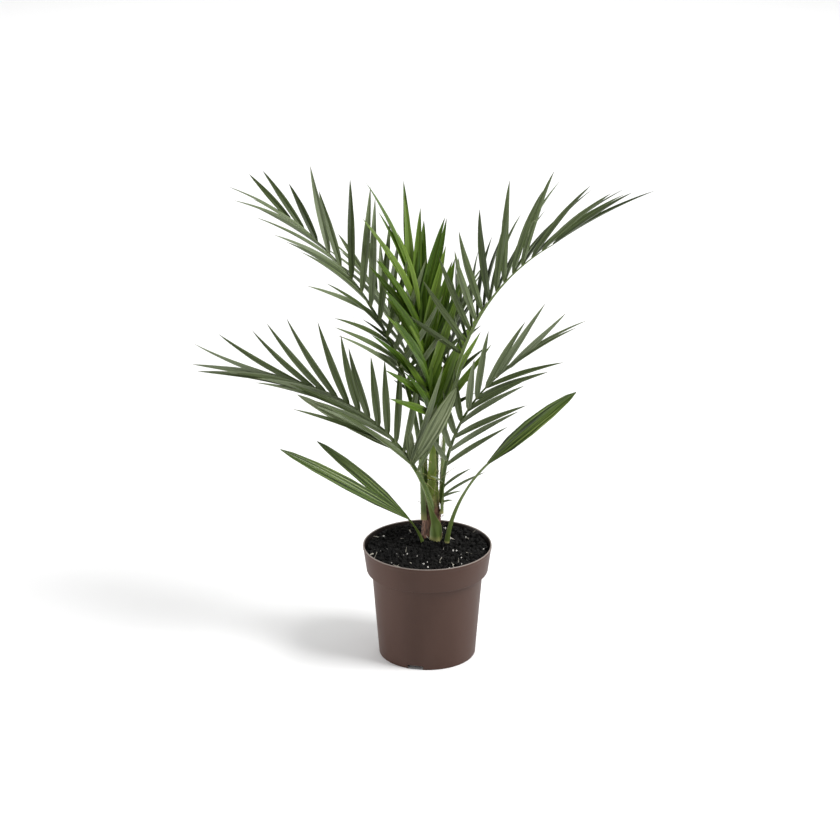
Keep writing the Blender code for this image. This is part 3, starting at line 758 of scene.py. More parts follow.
# Each frond: seat on the stem, lean and arch, share of bare stalk, and its two ranks of leaflets
FRONDS = {
    "upper_right": dict(
        seat=(20, 0.038), heading=-20, sweep=10, lean=(0, 58), bend=1.7,
        length=0.365, bare=0.50, roll=(10, -25), stalk=(0.0086, 0.0058), pairs=13, width=0.0088,
        tip=0.125, right=dict(open=0.90, lift=0, low=0.100, mid=0.140),
        left=dict(open=1.05, lift=0, low=0.085, mid=0.120)),
    "upper_left": dict(
        seat=(220, 0.024), heading=160, sweep=-5, lean=(0, 62), bend=1.4,
        length=0.400, bare=0.40, roll=(-30, -15), stalk=(0.0090, 0.0060), pairs=13, width=0.0086,
        tip=0.080, right=dict(open=0.80, lift=5, low=0.090, mid=0.120),
        left=dict(open=0.90, lift=-15, low=0.150, mid=0.120)),
    "centre": dict(
        seat=None, heading=130, sweep=0, lean=(0, 20), bend=1.1,
        length=0.235, bare=0.28, roll=(0, -10), stalk=(0.0110, 0.0056), pairs=12, width=0.0110,
        tip=0.115, right=dict(open=0.60, lift=5, low=0.110, mid=0.130),
        left=dict(open=0.95, lift=0, low=0.125, mid=0.150)),
    "front_left": dict(
        seat=(290, 0.0), heading=186, sweep=-16, lean=(0, 77), bend=0.90,
        length=0.275, bare=0.30, roll=(-20, -70), stalk=(0.0155, 0.0062), pairs=14, width=0.0090,
        tip=0.115, right=dict(open=0.85, lift=0, low=0.150, mid=0.085),
        left=dict(open=0.40, lift=-40, low=0.150, mid=0.110)),
    "mid_right": dict(
        seat=(335, 0.030), heading=-25, sweep=10, lean=(0, 50), bend=1.2,
        length=0.210, bare=0.25, roll=(80, 50), stalk=(0.0070, 0.0052), pairs=9, width=0.0084,
        tip=0.105, right=dict(open=0.65, lift=-40, low=0.110, mid=0.115),
        left=dict(open=0.60, lift=0, low=0.045, mid=0.060)),
    "back_left": dict(
        seat=(130, 0.032), heading=120, sweep=10, lean=(0, 60), bend=1.5,
        length=0.285, bare=0.45, roll=(0, 5), stalk=(0.0080, 0.0050), pairs=10, width=0.0084,
        tip=0.075, right=dict(open=0.95, lift=0, low=0.085, mid=0.095),
        left=dict(open=0.95, lift=-5, low=0.080, mid=0.095)),
    "back_right": dict(
        seat=(70, 0.028), heading=75, sweep=-10, lean=(0, 45), bend=1.4,
        length=0.240, bare=0.45, roll=(0, -10), stalk=(0.0080, 0.0050), pairs=10, width=0.0084,
        tip=0.070, right=dict(open=0.90, lift=0, low=0.070, mid=0.080),
        left=dict(open=0.95, lift=0, low=0.070, mid=0.080)),
}


def pointing(heading, lean):
    flat = math.sin(lean)
    return np.array([flat * math.cos(heading), flat * math.sin(heading), math.cos(lean)])


def directions(frond, s):
    """Along the rib, off its upper face and across it, at share s of the whole length."""
    lean_foot, lean_tip = frond["lean"]
    roll_foot, roll_tip = frond.get("roll", (0, 0))
    lean = math.radians(lean_foot + (lean_tip - lean_foot) * s ** frond["bend"])
    heading = math.radians(frond["heading"] + frond.get("sweep", 0) * s)
    roll = math.radians(roll_foot + (roll_tip - roll_foot) * s)
    along = pointing(heading, lean)
    upper = -pointing(heading, lean + math.pi / 2)
    across = np.cross(along, upper)
    return (along, upper * math.cos(roll) + across * math.sin(roll),
            across * math.cos(roll) - upper * math.sin(roll))


def foot_of(frond):
    """Where a stalk starts: on the peat, against the side of the stem, or on the stem's top."""
    if "foot" in frond:
        x, y = frond["foot"]
        reach = frond["stalk"][0] / 2
        highest = max(soil_height(x + reach * math.cos(a), y + reach * math.sin(a))
                      for a in np.linspace(0, math.tau, 12, endpoint=False))
        return np.array([x, y, highest + GAP])
    if frond["seat"] is None:
        return stem_centre(STEM_HEIGHT + GAP)
    angle, height = math.radians(frond["seat"][0]), frond["seat"][1]
    edge_depth = STALK_EDGE * STALK_DEPTH * frond["stalk"][0] / 2
    out = between(STEM_RADII, height / STEM_HEIGHT) + STEM_RIDGE + edge_depth + 2 * GAP
    return stem_centre(height) + out * level(angle)


def centre_line(frond):
    points = [foot_of(frond)]
    for step in range(PATH_STEPS):
        along = directions(frond, (step + 0.5) / PATH_STEPS)[0]
        points.append(points[-1] + along * frond["length"] / PATH_STEPS)
    return np.array(points)


def point_at(line, s):
    step = min(int(s * PATH_STEPS), PATH_STEPS - 1)
    share = s * PATH_STEPS - step
    return line[step] * (1 - share) + line[step + 1] * share


def clasping(frond, line, s, on_stalk):
    """A stalk's directions at share s, its foot turned to clasp the stem. on_stalk runs from 0 at
    the foot to 1 at the end of the bare stalk."""
    along, upper, across = directions(frond, s)
    to_stem = np.array([STEM_PLACE[0] - line[0][0], STEM_PLACE[1] - line[0][1], 0.0])
    if np.linalg.norm(to_stem) > 2 * GAP:
        clasp = (1 - on_stalk) ** 2
        upper = unit(to_stem) * clasp + upper * (1 - clasp)
        upper = unit(upper - along * np.dot(upper, along))
        across = np.cross(along, upper)
    return upper, across


def stalk_ring(centre, upper, across, half, section, depth=STALK_DEPTH):
    """One ring of a stalk: its section set at a centre."""
    return [centre + across * x * half + upper * y * half * depth for x, y in section]


def flat_foot(ring, line):
    return [np.array([x, y, line[0][2]]) for x, y, _ in ring]


def stalk_section():
    """(x, y) round a stalk as shares of half width and depth, from the left edge over the channel."""
    half = STALK_SIDES // 2
    top = [-math.cos(math.pi * k / half) for k in range(half)]
    section = [(x, STALK_CHANNEL + (STALK_EDGE - STALK_CHANNEL) * x * x) for x in top]
    for x in top:
        below = (1 - abs(x) ** STALK_SWELL[0]) ** STALK_SWELL[1]
        section.append((-x, STALK_EDGE - (1 + STALK_EDGE) * below))
    return section


def stalk_rings(frond, line, bare, rows):
    """The stalk from its foot to the end of its rib."""
    section = stalk_section()
    foot_width, head_width = frond["stalk"]
    rings = []
    for k in range(rows):
        s = k / (rows - 1)
        on_stalk = min(s / bare, 1.0)
        width = foot_width + (head_width - foot_width) * on_stalk
        if s > bare:
            width += (RIB_TIP_WIDTH - width) * (s - bare) / (1 - bare)
        rings.append(stalk_ring(point_at(line, s), *clasping(frond, line, s, on_stalk), width / 2,
                                section))
    rings[0] = flat_foot(rings[0], line)
    return rings


def uv_place(tree):
    return add_node(tree, "ShaderNodeUVMap", uv_map="UVMap").outputs["UV"]


def stalk_finish(name, tones):
    """Waxy green skin with pale edges, faint long streaks and a straw-coloured foot."""
    material, tree, shader = new_finish(name, roughness=0.42)
    uv = uv_place(tree)
    around = ramp_over(tree, axis_of(tree, uv, "X"), [(x, tones[tone]) for x, tone in TONE_STOPS])
    foot = ramp_over(tree, axis_of(tree, uv, "Y"), ((0.0, grey(1.0)), (FOOT_SHARE, grey(0.0))))
    streaks = object_noise(tree, scale=700.0, stretch=(1.0, 1.0, 0.10))
    coat(tree, shader, laid_over(tree, foot, around, tones["foot"]), streaks,
         strength=0.25, distance=0.0003)
    return material


stalk_green = stalk_finish("stalk_green", STALK_TONES)
young_sheath = stalk_finish("young_sheath", SHEATH_TONES)
lines = {name: centre_line(frond) for name, frond in FRONDS.items()}
for name, frond in FRONDS.items():
    stalk = closed_skin("stalk_and_rib_" + name,
                        stalk_rings(frond, lines[name], frond["bare"], STALK_ROWS))
    dress(stalk, young_sheath if name == "centre" else stalk_green, STALK_CREASE)
    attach(stalk, "root")
    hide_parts("stalk_" + name)

# --- Young strap leaves -----------------------------------------------------------------------
# The first leaves of a seedling palm aren't feathered: each is one or two long pleated lobes,
# fused along their folds, on a thin stalk of its own that comes up beside the stem.
LEAF_YOUNG = ((0.005, 0.011, 0.001), (0.056, 0.100, 0.010), (0.185, 0.245, 0.055))
PLEAT_STOPS = (0.38, 0.50, 0.66)
# Each leaf: its stalk, then the heading, lean, roll, length and width of each lobe
YOUNG_LEAVES = {
    "young_left": dict(
        foot=(-0.0060, 0.0117), heading=190, lean=(14, 42), bend=1.0, length=0.036,
        stalk=(0.0046, 0.0036),
        lobes=((190, 57, -60, 0.175, 0.0150), (178, 48, -50, 0.140, 0.0140))),
    "young_right": dict(
        foot=(0.0232, 0.0118), heading=-10, lean=(6, 44), bend=1.0, length=0.116,
        stalk=(0.0075, 0.0042),
        lobes=((-10, 47, 60, 0.135, 0.0190),)),
}
LOBE_OUTLINE = ((0.0, 0.16), (0.10, 0.42), (0.28, 0.86), (0.50, 1.0), (0.74, 0.84), (0.92, 0.46))
LOBE_END = (1.0, 0.06)
LOBE_BOW = 0.03
LOBE_FOLD = 0.35
LOBE_ROWS = 56
LOBE_SIDES = 24
LOBE_CREASE = 50
LOBE_PLEATS = 5
LOBE_PLEAT_DEPTH = 0.00045
LOBE_HALF_THICKNESS = 0.00045
LOBE_SUNK = 0.0015
LOBE_SPARE = 0.002


def towards(heading, lean):
    """The direction of a heading and a lean from vertical, in degrees."""
    return pointing(math.radians(heading), math.radians(lean))


def lobe_facing(heading, lean, roll):
    """What the upper face of a lobe looks at, its angles in degrees."""
    upright = -pointing(math.radians(heading), math.radians(lean) + math.pi / 2)
    turn = math.radians(roll)
    return upright * math.cos(turn) + np.cross(towards(heading, lean), upright) * math.sin(turn)


def lobe(base, along, facing, length, width):
    """A pleated lobe. Each ring runs over its upper face from left to right, then back below."""
    normal = unit(facing - along * np.dot(facing, along))
    side = np.cross(along, normal)
    shares, widths = zip(*LOBE_OUTLINE, LOBE_END)
    rings = []
    for row in range(LOBE_ROWS + 1):
        share = row / LOBE_ROWS
        wide = float(np.interp(share, shares, widths))
        half = width / 2 * wide
        centre = base + along * length * share + normal * LOBE_BOW * length * 4 * share * (1 - share)
        ring = []
        for face in (1, -1):
            for k in range(LOBE_SIDES):
                x = face * (2 * k / LOBE_SIDES - 1)
                pleat = LOBE_PLEAT_DEPTH * wide * math.cos(LOBE_PLEATS * math.tau * abs(x) / 2)
                edge = 1 - abs(x) ** 6
                lift = LOBE_FOLD * half * abs(x) + pleat + face * LOBE_HALF_THICKNESS * wide * edge
                ring.append(centre + side * x * half + normal * lift)
        rings.append(ring)
    return closed_skin("lobe", rings)


def pleated_finish(name, colours, roughness):
    """Green with the pleats picked out in lighter lines."""
    material, tree, shader = new_finish(name, roughness)
    veins = noise_over(tree, uv_place(tree), scale=1.0, detail=3.0, stretch=(14.0, 1.2, 1.0))
    coat(tree, shader, ramp_over(tree, veins, tuple(zip(PLEAT_STOPS, colours))), veins,
         strength=0.4, distance=0.0004)
    return material


def joined(name, pieces):
    """One object from several."""
    bpy.ops.object.select_all(action="DESELECT")
    for piece in pieces:
        piece.select_set(True)
    bpy.context.view_layer.objects.active = pieces[0]
    if len(pieces) > 1:
        bpy.ops.object.join()
    pieces[0].name = name
    return pieces[0]


young_green = pleated_finish("young_leaf", LEAF_YOUNG, roughness=0.38)
for name, leaf in YOUNG_LEAVES.items():
    line = centre_line(leaf)
    stalk = closed_skin("stalk_of_" + name, stalk_rings(leaf, line, 1.0, STALK_ROWS // 2))
    dress(stalk, stalk_green, STALK_CREASE)
    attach(stalk, "root")
    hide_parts("stalk_" + name)
    foot = line[-1] - directions(leaf, 1.0)[0] * LOBE_SUNK
    lobes = joined("lobes_of_" + name, [
        lobe(foot, towards(heading, lean), lobe_facing(heading, lean, roll), length + LOBE_SPARE, width)
        for heading, lean, roll, length, width in leaf["lobes"]])
    dress(lobes, young_green, LOBE_CREASE)
    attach(lobes, "root")
    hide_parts("leaf_" + name)

# --- Leaflets ---------------------------------------------------------------------------------
# Each blade is two ranks of narrow, stiff leaflets folded into a V along the middle, set on the
# rib and closing towards its tip. They keep clear of their neighbours by turning a little aside.
LEAFLET_SPREAD = (65, 50, 38, 14)
LEAFLET_RISE = (40, 35, 30, 15)
LONGEST_AT = 0.40
UNEVEN_SPREAD = 7
UNEVEN_RISE = 9
UNEVEN_LENGTH = 0.12
YIELD_ANGLES = (0, 5, 10, 15, 20)
YIELD_SHARES = (1.0, 0.85, 0.7, 0.5, 0.3)
YIELD_OPENING = 0.6
BLADE_START = 0.008
# The left rank sits this share of a step further on, and ends that share before a full one
RANK_LAG, RANK_SHORT = 0.4, 0.6
LEAFLET_SEED = 100
LEAFLET_FACING = 30
LEAFLET_BOW = 0.035
LEAFLET_FOLD = 0.60
LEAFLET_END_WIDTH = 0.80
LEAFLET_THICKNESS = 0.0006
LEAFLET_OUTLINE = ((0.0, 0.30), (0.12, 0.80), (0.40, 1.0), (0.74, 0.62))
LEAFLET_END = (1.0, 0.02)
LEAFLET_TWIST = 0.30
LEAFLET_SWAY = (-0.03, 0.02)
LEAFLET_CREASE = 35
# The newest frond is still half open
HALF_OPEN_LIFT = -12
HALF_OPEN_TURN = -6
HALF_OPEN_CLOSING = 10
HALF_OPEN_LENGTH = 0.92
HALF_OPEN_WIDTH = 1.30
HALF_OPEN_PAIRS = 8
HALF_OPEN_LOWER = 1
HALF_OPEN_LAGS = ((1, 0.5), (-1, 0.9))
# Each spine on a stalk: its place along the stalk, heading, lean, length and width
STALK_SPINES = ((0.10, -14, 56, 0.064, 0.0048), (0.095, -8, 68, 0.026, 0.0038),
                (0.065, -4, 76, 0.014, 0.0032), (0.15, -28, 50, 0.050, 0.0050),
                (0.19, 200, 60, 0.020, 0.0026))
SPINE_FACING = (0.0, -0.5, 1.0)
# The plainer solids that the leaflets keep clear of
COARSE_FOLD = 0.35
COARSE_TIP = 0.10
COARSE_TIP_THICKNESS = 0.40
COARSE_OUTER = ((0.45, 0.95), (0.74, 0.62))
COARSE_THICKNESS = 0.0013
COARSE_SLENDERNESS = 92
COARSE_CLEARANCE = 0.0012
COARSE_LOBE_THICKNESS = 0.0020
COARSE_LOBE_SUNK = 0.002
COARSE_SLEEVE = 0.006
COARSE_SLEEVE_DEPTH = 0.77
COARSE_STEM_SIDES = 16
COARSE_SECTION = ((-1.0, 0.45), (0.0, 0.20), (1.0, 0.45), (0.62, -0.55), (0.0, -1.0), (-0.62, -0.55))
RIB_STATIONS = 12
STALK_STATIONS = 10
# The shades of a leaf from dark to light, how they follow its veins and its own tone, and what
# multiplies them across it and along it
LEAF_GREY = ((0.018, 0.030, 0.004), (0.070, 0.100, 0.026), (0.175, 0.210, 0.120))
LEAF_FRESH = ((0.020, 0.052, 0.001), (0.064, 0.122, 0.004), (0.140, 0.215, 0.030))
LEAF_STOPS = (0.22, 0.50, 0.80)
LEAF_LINES = ((0.0, 1.50), (0.10, 1.0), (0.42, 0.80), (0.48, 1.45), (0.52, 1.45), (0.58, 0.80),
              (0.90, 1.0), (1.0, 1.50))
LEAF_ENDS = ((0.0, (1.5, 1.35, 1.2)), (0.05, (1.0, 1.0, 1.0)), (0.93, (1.0, 1.0, 1.0)),
             (1.0, (0.75, 0.5, 0.4)))
BRIGHTEST = 1.5
VEIN_CONTRAST = 1.40
VEIN_MIDDLE = 0.30
TONE_CONTRAST = 0.50
TONE_SPREAD = (0.05, 0.95)
# Each frond's tone is shifted as a whole. Part of the shift is the frond's own paler or darker green. Part
# is painted light that brightens the fronds whose leaflets turn away from the lamps.
FROND_TONE_AND_PAINTED_LIGHT = {"upper_right": -0.28, "upper_left": -0.08, "front_left": 0.34, "mid_right": 0.34,
               "back_left": -0.06, "back_right": -0.06}


def coarse_skin(rings):
    """A closed body through rings, for the clearance tests only."""
    points = [tuple(map(float, p)) for ring in rings for p in ring]
    count = len(rings[0])
    faces = []
    for here in range(0, count * (len(rings) - 1), count):
        for i in range(count):
            j = (i + 1) % count
            faces.append((here + i, here + j, here + count + j, here + count + i))
    faces.append(tuple(reversed(range(count))))
    faces.append(tuple(range(len(points) - count, len(points))))
    return BVHTree.FromPolygons(points, faces)


def coarse_stem():
    last = len(STEM_RADII) - 1
    rings = []
    for k in range(last + 1):
        ring = []
        for i in range(COARSE_STEM_SIDES):
            angle = math.tau * i / COARSE_STEM_SIDES
            ridge = STEM_RIDGE * math.cos(STEM_RIDGES * angle + STEM_TWIST * k)
            ring.append(stem_centre(STEM_HEIGHT * k / last)
                        + (between(STEM_RADII, k / last) + ridge) * level(angle))
        rings.append(ring)
    return coarse_skin(rings)


def coarse_stalk(frond, line, last):
    """The bare stalk, up to share last of the whole length."""
    foot_width, head_width = frond["stalk"]
    rings = []
    for k in range(STALK_STATIONS):
        share = k / (STALK_STATIONS - 1)
        s = last * share
        half = (foot_width + (head_width - foot_width) * share) / 2
        rings.append(stalk_ring(point_at(line, s), *clasping(frond, line, s, share), half,
                                COARSE_SECTION))
    rings[0] = flat_foot(rings[0], line)
    return coarse_skin(rings)


def coarse_rib(frond, line):
    rings = []
    for k in range(RIB_STATIONS):
        share = k / (RIB_STATIONS - 1)
        s = frond["bare"] + (1.0 - frond["bare"]) * share
        _, upper, across = directions(frond, s)
        half = (frond["stalk"][1] + (RIB_TIP_WIDTH - frond["stalk"][1]) * share) / 2
        rings.append(stalk_ring(point_at(line, s), upper, across, half, COARSE_SECTION))
    return coarse_skin(rings)


def coarse_blade(base, along, facing, length, width, thickness, outline, bow, grow=0.0):
    normal = unit(facing - along * np.dot(facing, along))
    side = np.cross(along, normal)
    rings = []
    for share, wide in (*outline, (1.0, COARSE_TIP)):
        centre = base + along * length * share + normal * bow * length * 4 * share * (1 - share)
        half = width / 2 * wide + grow
        thick = (thickness / 2 + grow) * (1.0 if share < 1.0 else COARSE_TIP_THICKNESS)
        lift = normal * COARSE_FOLD * half
        rings.append([centre - side * half + lift, centre + normal * thick,
                      centre + side * half + lift, centre - normal * thick])
    return coarse_skin(rings)


def coarse_young_leaf(leaf):
    """The stalk of a young leaf, the sleeve on its end and its lobes."""
    line = centre_line(leaf)
    along, upper, across = directions(leaf, 1.0)
    sleeve = [stalk_ring(line[-1] + along * reach, upper, across, leaf["stalk"][1] / 2,
                         COARSE_SECTION, COARSE_SLEEVE_DEPTH) for reach in (0.0, COARSE_SLEEVE)]
    parts = [coarse_stalk(leaf, line, 1.0 - GAP / leaf["length"]), coarse_skin(sleeve)]
    for heading, lean, roll, length, width in leaf["lobes"]:
        parts.append(coarse_blade(
            line[-1] + along * COARSE_LOBE_SUNK, towards(heading, lean),
            lobe_facing(heading, lean, roll), length, width, COARSE_LOBE_THICKNESS, LOBE_OUTLINE,
            LOBE_BOW))
    return parts


def unevenness(frond, t, side):
    """Three seeded shares between -1 and 1, one set for each leaflet of a frond."""
    seed = int(round(frond["heading"] + 360)) * 1000 + int(round(400 * t)) * 2 + (side > 0)
    return np.random.default_rng(seed).uniform(-1.0, 1.0, 3)


def leaflet_shape(frond, line, t, side, lift=0.0, open_more=0.0, share=1.0):
    """Base, direction, facing, length and width of one leaflet; t runs from lowest to tip."""
    rank = frond["right"] if side > 0 else frond["left"]
    start = frond["bare"] + BLADE_START / frond["length"]
    s = start + (1 - start) * t
    along, upper, across = directions(frond, s)
    wide, high, long = unevenness(frond, t, side)
    spread = math.radians(between(LEAFLET_SPREAD, t) * rank["open"] + open_more + wide * UNEVEN_SPREAD)
    rise = math.radians(between(LEAFLET_RISE, t) + rank["lift"] + lift + high * UNEVEN_RISE)
    lengths = (rank["low"], rank["mid"], frond["tip"])
    length = float(np.interp(t, (0.0, LONGEST_AT, 1.0), lengths)) * share * (1 + long * UNEVEN_LENGTH)
    out = across * side * math.cos(rise) + upper * math.sin(rise)
    heading = along * math.cos(spread) + out * math.sin(spread)
    tilt = math.radians(LEAFLET_FACING)
    facing = upper * math.cos(tilt) - out * math.sin(tilt)
    width = frond["width"] * (LEAFLET_END_WIDTH + (1 - LEAFLET_END_WIDTH) * math.sin(math.pi * t))
    return point_at(line, s), heading, facing, length, width


def coarse_leaflet(shape, grow, outline):
    base, heading, facing, length, width = shape
    thickness = max(COARSE_THICKNESS, length / COARSE_SLENDERNESS)
    return coarse_blade(base, heading, facing, length, width, thickness, outline, LEAFLET_BOW, grow)


def clear_shape(frond, line, t, side, obstacles, siblings):
    """The leaflet turned, then shortened, by the least that keeps it off its neighbours."""
    for share in YIELD_SHARES:
        for reach in YIELD_ANGLES:
            for lift, open_more in ((1, 0), (-1, 0), (0, 1), (0, -1)):
                shape = leaflet_shape(frond, line, t, side, lift * reach,
                                      open_more * reach * YIELD_OPENING, share)
                guard = coarse_leaflet(shape, COARSE_CLEARANCE, LEAFLET_OUTLINE)
                outer = coarse_leaflet(shape, 0.0, COARSE_OUTER)
                if not (any(guard.overlap(tree) for tree in obstacles)
                        or any(outer.overlap(tree) for tree in siblings)):
                    siblings.append(outer)
                    return shape
                if reach == 0:
                    break
    return None


def rank_places(pairs):
    """Where the leaflets sit, as (t, side): the two ranks alternate and both end at the tip."""
    places = []
    for k in range(pairs):
        places.append((k / (pairs - 1), 1))
        places.append(((k + RANK_LAG) / (pairs - RANK_SHORT), -1))
    return places


def half_open_leaflets(frond, line):
    """The broad leaflets that lie close behind the first ones, from lower down."""
    shapes = []
    for k in range(-HALF_OPEN_LOWER, HALF_OPEN_PAIRS):
        for side, lag in HALF_OPEN_LAGS:
            t = (k + lag) / (frond["pairs"] - RANK_SHORT)
            turn = HALF_OPEN_TURN - HALF_OPEN_CLOSING * (1 - max(t, 0.0))
            base, heading, facing, length, width = leaflet_shape(
                frond, line, t, side, HALF_OPEN_LIFT, turn, HALF_OPEN_LENGTH)
            shapes.append((base, heading, facing, length, width * HALF_OPEN_WIDTH))
    return shapes


def stalk_spines(line):
    """The lowest leaflets of a stalk stay short, stiff and sharp."""
    return [(point_at(line, share), towards(heading, lean), np.array(SPINE_FACING), length, width)
            for share, heading, lean, length, width in STALK_SPINES]


def product_of(tree, *values):
    total = values[0]
    for value in values[1:]:
        total = math_of(tree, "MULTIPLY", total, value)
    return total


def named_of(tree, kind, name):
    return add_node(tree, "GeometryNodeInputNamedAttribute", {"Name": name},
                    data_type=kind).outputs["Attribute"]


def leaflet_tree():
    """One folded, bowed and twisted blade on every point, shaped by the point's own values."""
    tree, given, made = tree_with_inputs("leaflets_on_rib", {
        "Bow": "Float", "Fold": "Float", "Thickness": "Float", "Finish": "Material"})
    blank = add_node(tree, "GeometryNodeMeshCylinder", {
        "Vertices": 8, "Side Segments": 14, "Radius": 1.0, "Depth": 1.0})
    kept = add_node(tree, "GeometryNodeStoreNamedAttribute", {
        "Name": "blank", "Geometry": blank.outputs["Mesh"],
        "Value": add_node(tree, "GeometryNodeInputPosition").outputs[0]}, data_type="FLOAT_VECTOR")
    copies = add_node(tree, "GeometryNodeInstanceOnPoints", {
        "Points": given["Geometry"], "Instance": kept.outputs["Geometry"]})

    spot = add_node(tree, "ShaderNodeSeparateXYZ", {0: named_of(tree, "FLOAT_VECTOR", "blank")}).outputs
    across, through = spot["X"], spot["Y"]
    up = math_of(tree, "ADD", spot["Z"], 0.5)
    outline = add_node(tree, "ShaderNodeFloatCurve", {"Value": up})
    curve = outline.mapping.curves[0]
    stops = (*LEAFLET_OUTLINE, LEAFLET_END)
    while len(curve.points) < len(stops):
        curve.points.new(0.5, 0.5)
    for point, place in zip(curve.points, stops):
        point.location = place
    outline.mapping.update()
    wide = outline.outputs[0]

    half = product_of(tree, named_of(tree, "FLOAT", "width"), 0.5, wide)
    length = named_of(tree, "FLOAT", "length")
    along = named_of(tree, "FLOAT_VECTOR", "along")
    normal = named_of(tree, "FLOAT_VECTOR", "normal")
    side = vector_of(tree, "CROSS_PRODUCT", along, normal)
    turn = product_of(tree, named_of(tree, "FLOAT", "twist"), up)
    turned_normal = vector_of(
        tree, "ADD", vector_of(tree, "SCALE", normal, scale=math_of(tree, "COSINE", turn)),
        vector_of(tree, "SCALE", side, scale=math_of(tree, "SINE", turn)))
    turned_side = vector_of(tree, "CROSS_PRODUCT", along, turned_normal)
    arch = product_of(tree, up, math_of(tree, "SUBTRACT", 1.0, up), 4.0, length, given["Bow"])
    sway = product_of(tree, up, up, named_of(tree, "FLOAT", "sway"))
    fold = product_of(tree, math_of(tree, "ABSOLUTE", across), half, given["Fold"])
    plump = product_of(tree, through, given["Thickness"], wide)
    off = math_of(tree, "ADD", math_of(tree, "ADD", arch, sway), math_of(tree, "ADD", fold, plump))
    place = named_of(tree, "FLOAT_VECTOR", "base")
    for direction, distance in ((along, product_of(tree, length, up)), (turned_normal, off),
                                (turned_side, product_of(tree, across, half))):
        place = vector_of(tree, "ADD", place, vector_of(tree, "SCALE", direction, scale=distance))
    bent = add_node(tree, "GeometryNodeSetPosition", {
        "Geometry": realized(tree, copies.outputs["Instances"]), "Position": place})

    from_left = product_of(tree, math_of(tree, "ADD", across, 1.0), 0.5)
    flat = add_node(tree, "ShaderNodeCombineXYZ", {"X": up, "Y": from_left})
    mapped = add_node(tree, "GeometryNodeStoreNamedAttribute", {
        "Name": "UVMap", "Geometry": bent.outputs["Geometry"], "Value": flat.outputs[0]},
        data_type="FLOAT2", domain="CORNER")
    return finish_tree(tree, mapped.outputs["Geometry"], given["Finish"], made)


def multiplied(tree, first, second):
    """One colour times another that holds its factors as shares of the brightest."""
    product = add_node(tree, "ShaderNodeMix", {0: 1.0, 6: first, 7: second},
                       data_type="RGBA", blend_type="MULTIPLY")
    raised = add_node(tree, "ShaderNodeMix", {
        0: 1.0, 6: product.outputs[2], 7: (*grey(BRIGHTEST), 1.0)},
        data_type="RGBA", blend_type="MULTIPLY", clamp_result=False)
    return raised.outputs[2]


def leaf_finish(name, colours, roughness):
    """A waxy blade: a shade on each leaflet from its tone, which for some fronds holds painted light, fine
    long veins and a paler fold.
    """
    material, tree, shader = new_finish(name, roughness, specular=0.35)
    tone = add_node(tree, "ShaderNodeAttribute", attribute_name="tone").outputs["Fac"]
    uv = uv_place(tree)
    veins = noise_over(tree, uv, scale=1.0, detail=3.0, stretch=(1.0, 9.0, 1.0))
    streaks = product_of(tree, math_of(tree, "SUBTRACT", veins, VEIN_MIDDLE), VEIN_CONTRAST)
    shade = math_of(tree, "ADD", streaks, product_of(tree, tone, TONE_CONTRAST))
    across = ramp_over(tree, axis_of(tree, uv, "Y"),
                       [(y, grey(factor / BRIGHTEST)) for y, factor in LEAF_LINES])
    along = ramp_over(tree, axis_of(tree, uv, "X"),
                      [(x, tuple(factor / BRIGHTEST for factor in factors)) for x, factors in LEAF_ENDS])
    green = ramp_over(tree, shade, tuple(zip(LEAF_STOPS, colours)))
    coat(tree, shader, multiplied(tree, multiplied(tree, green, across), along), veins,
         strength=0.45, distance=0.0005)
    return material


def leaflet_points(name, shapes, seed, shade):
    """One point for each leaflet, holding its direction, size, twist, sway and tone; the tone takes the
    frond's shift, which is partly painted light.
    """
    chance = np.random.default_rng(seed)
    obj = mesh_object(name, [shape[0] for shape in shapes])
    values = {"base": [], "along": [], "normal": [], "length": [], "width": [], "twist": [],
              "sway": [], "tone": []}
    for base, heading, facing, length, width in shapes:
        values["base"].extend(base)
        values["along"].extend(heading)
        values["normal"].extend(unit(facing - heading * np.dot(facing, heading)))
        values["length"].append(length)
        values["width"].append(width)
        values["twist"].append(chance.uniform(-LEAFLET_TWIST, LEAFLET_TWIST))
        values["sway"].append(length * chance.uniform(*LEAFLET_SWAY))
        values["tone"].append(chance.uniform(*TONE_SPREAD) + shade)
    for label, numbers in values.items():
        is_vector = label in ("base", "along", "normal")
        layer = obj.data.attributes.new(label, "FLOAT_VECTOR" if is_vector else "FLOAT", "POINT")
        layer.data.foreach_set("vector" if is_vector else "value", np.array(numbers, np.float32))
    return obj


grey_leaf = leaf_finish("grey_green_leaf", LEAF_GREY, roughness=0.50)
fresh_leaf = leaf_finish("fresh_leaf", LEAF_FRESH, roughness=0.42)
blades = leaflet_tree()
fixed = [coarse_stem()]
for leaf in YOUNG_LEAVES.values():
    fixed.extend(coarse_young_leaf(leaf))
ribs = {}
for name, frond in FRONDS.items():
    fixed.append(coarse_stalk(frond, lines[name], frond["bare"] - GAP / frond["length"]))
    ribs[name] = coarse_rib(frond, lines[name])
placed = []
shapes_of = {}
for number, (name, frond) in enumerate(FRONDS.items()):
    other_ribs = [tree for other, tree in ribs.items() if other != name]
    shapes, siblings = [], []
    for t, side in rank_places(frond["pairs"]):
        shape = clear_shape(frond, lines[name], t, side, fixed + other_ribs + placed, siblings)
        if shape:
            shapes.append(shape)
    placed.extend(coarse_leaflet(shape, 0.0, LEAFLET_OUTLINE) for shape in shapes)
    if name == "centre":
        shapes.extend(half_open_leaflets(frond, lines[name]))
    if name == "mid_right":
        shapes.extend(stalk_spines(lines[name]))
    shapes_of[name] = shapes
    leaflets = leaflet_points("leaflets_" + name, shapes, LEAFLET_SEED + number,
                              FROND_TONE_AND_PAINTED_LIGHT.get(name, 0.0))
    run_tree(leaflets, blades, {"Bow": LEAFLET_BOW, "Fold": LEAFLET_FOLD, "Thickness": LEAFLET_THICKNESS,
                                "Finish": fresh_leaf if name == "centre" else grey_leaf})
    smooth(leaflets, LEAFLET_CREASE)
    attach(leaflets, "root")
    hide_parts("frond_" + name)

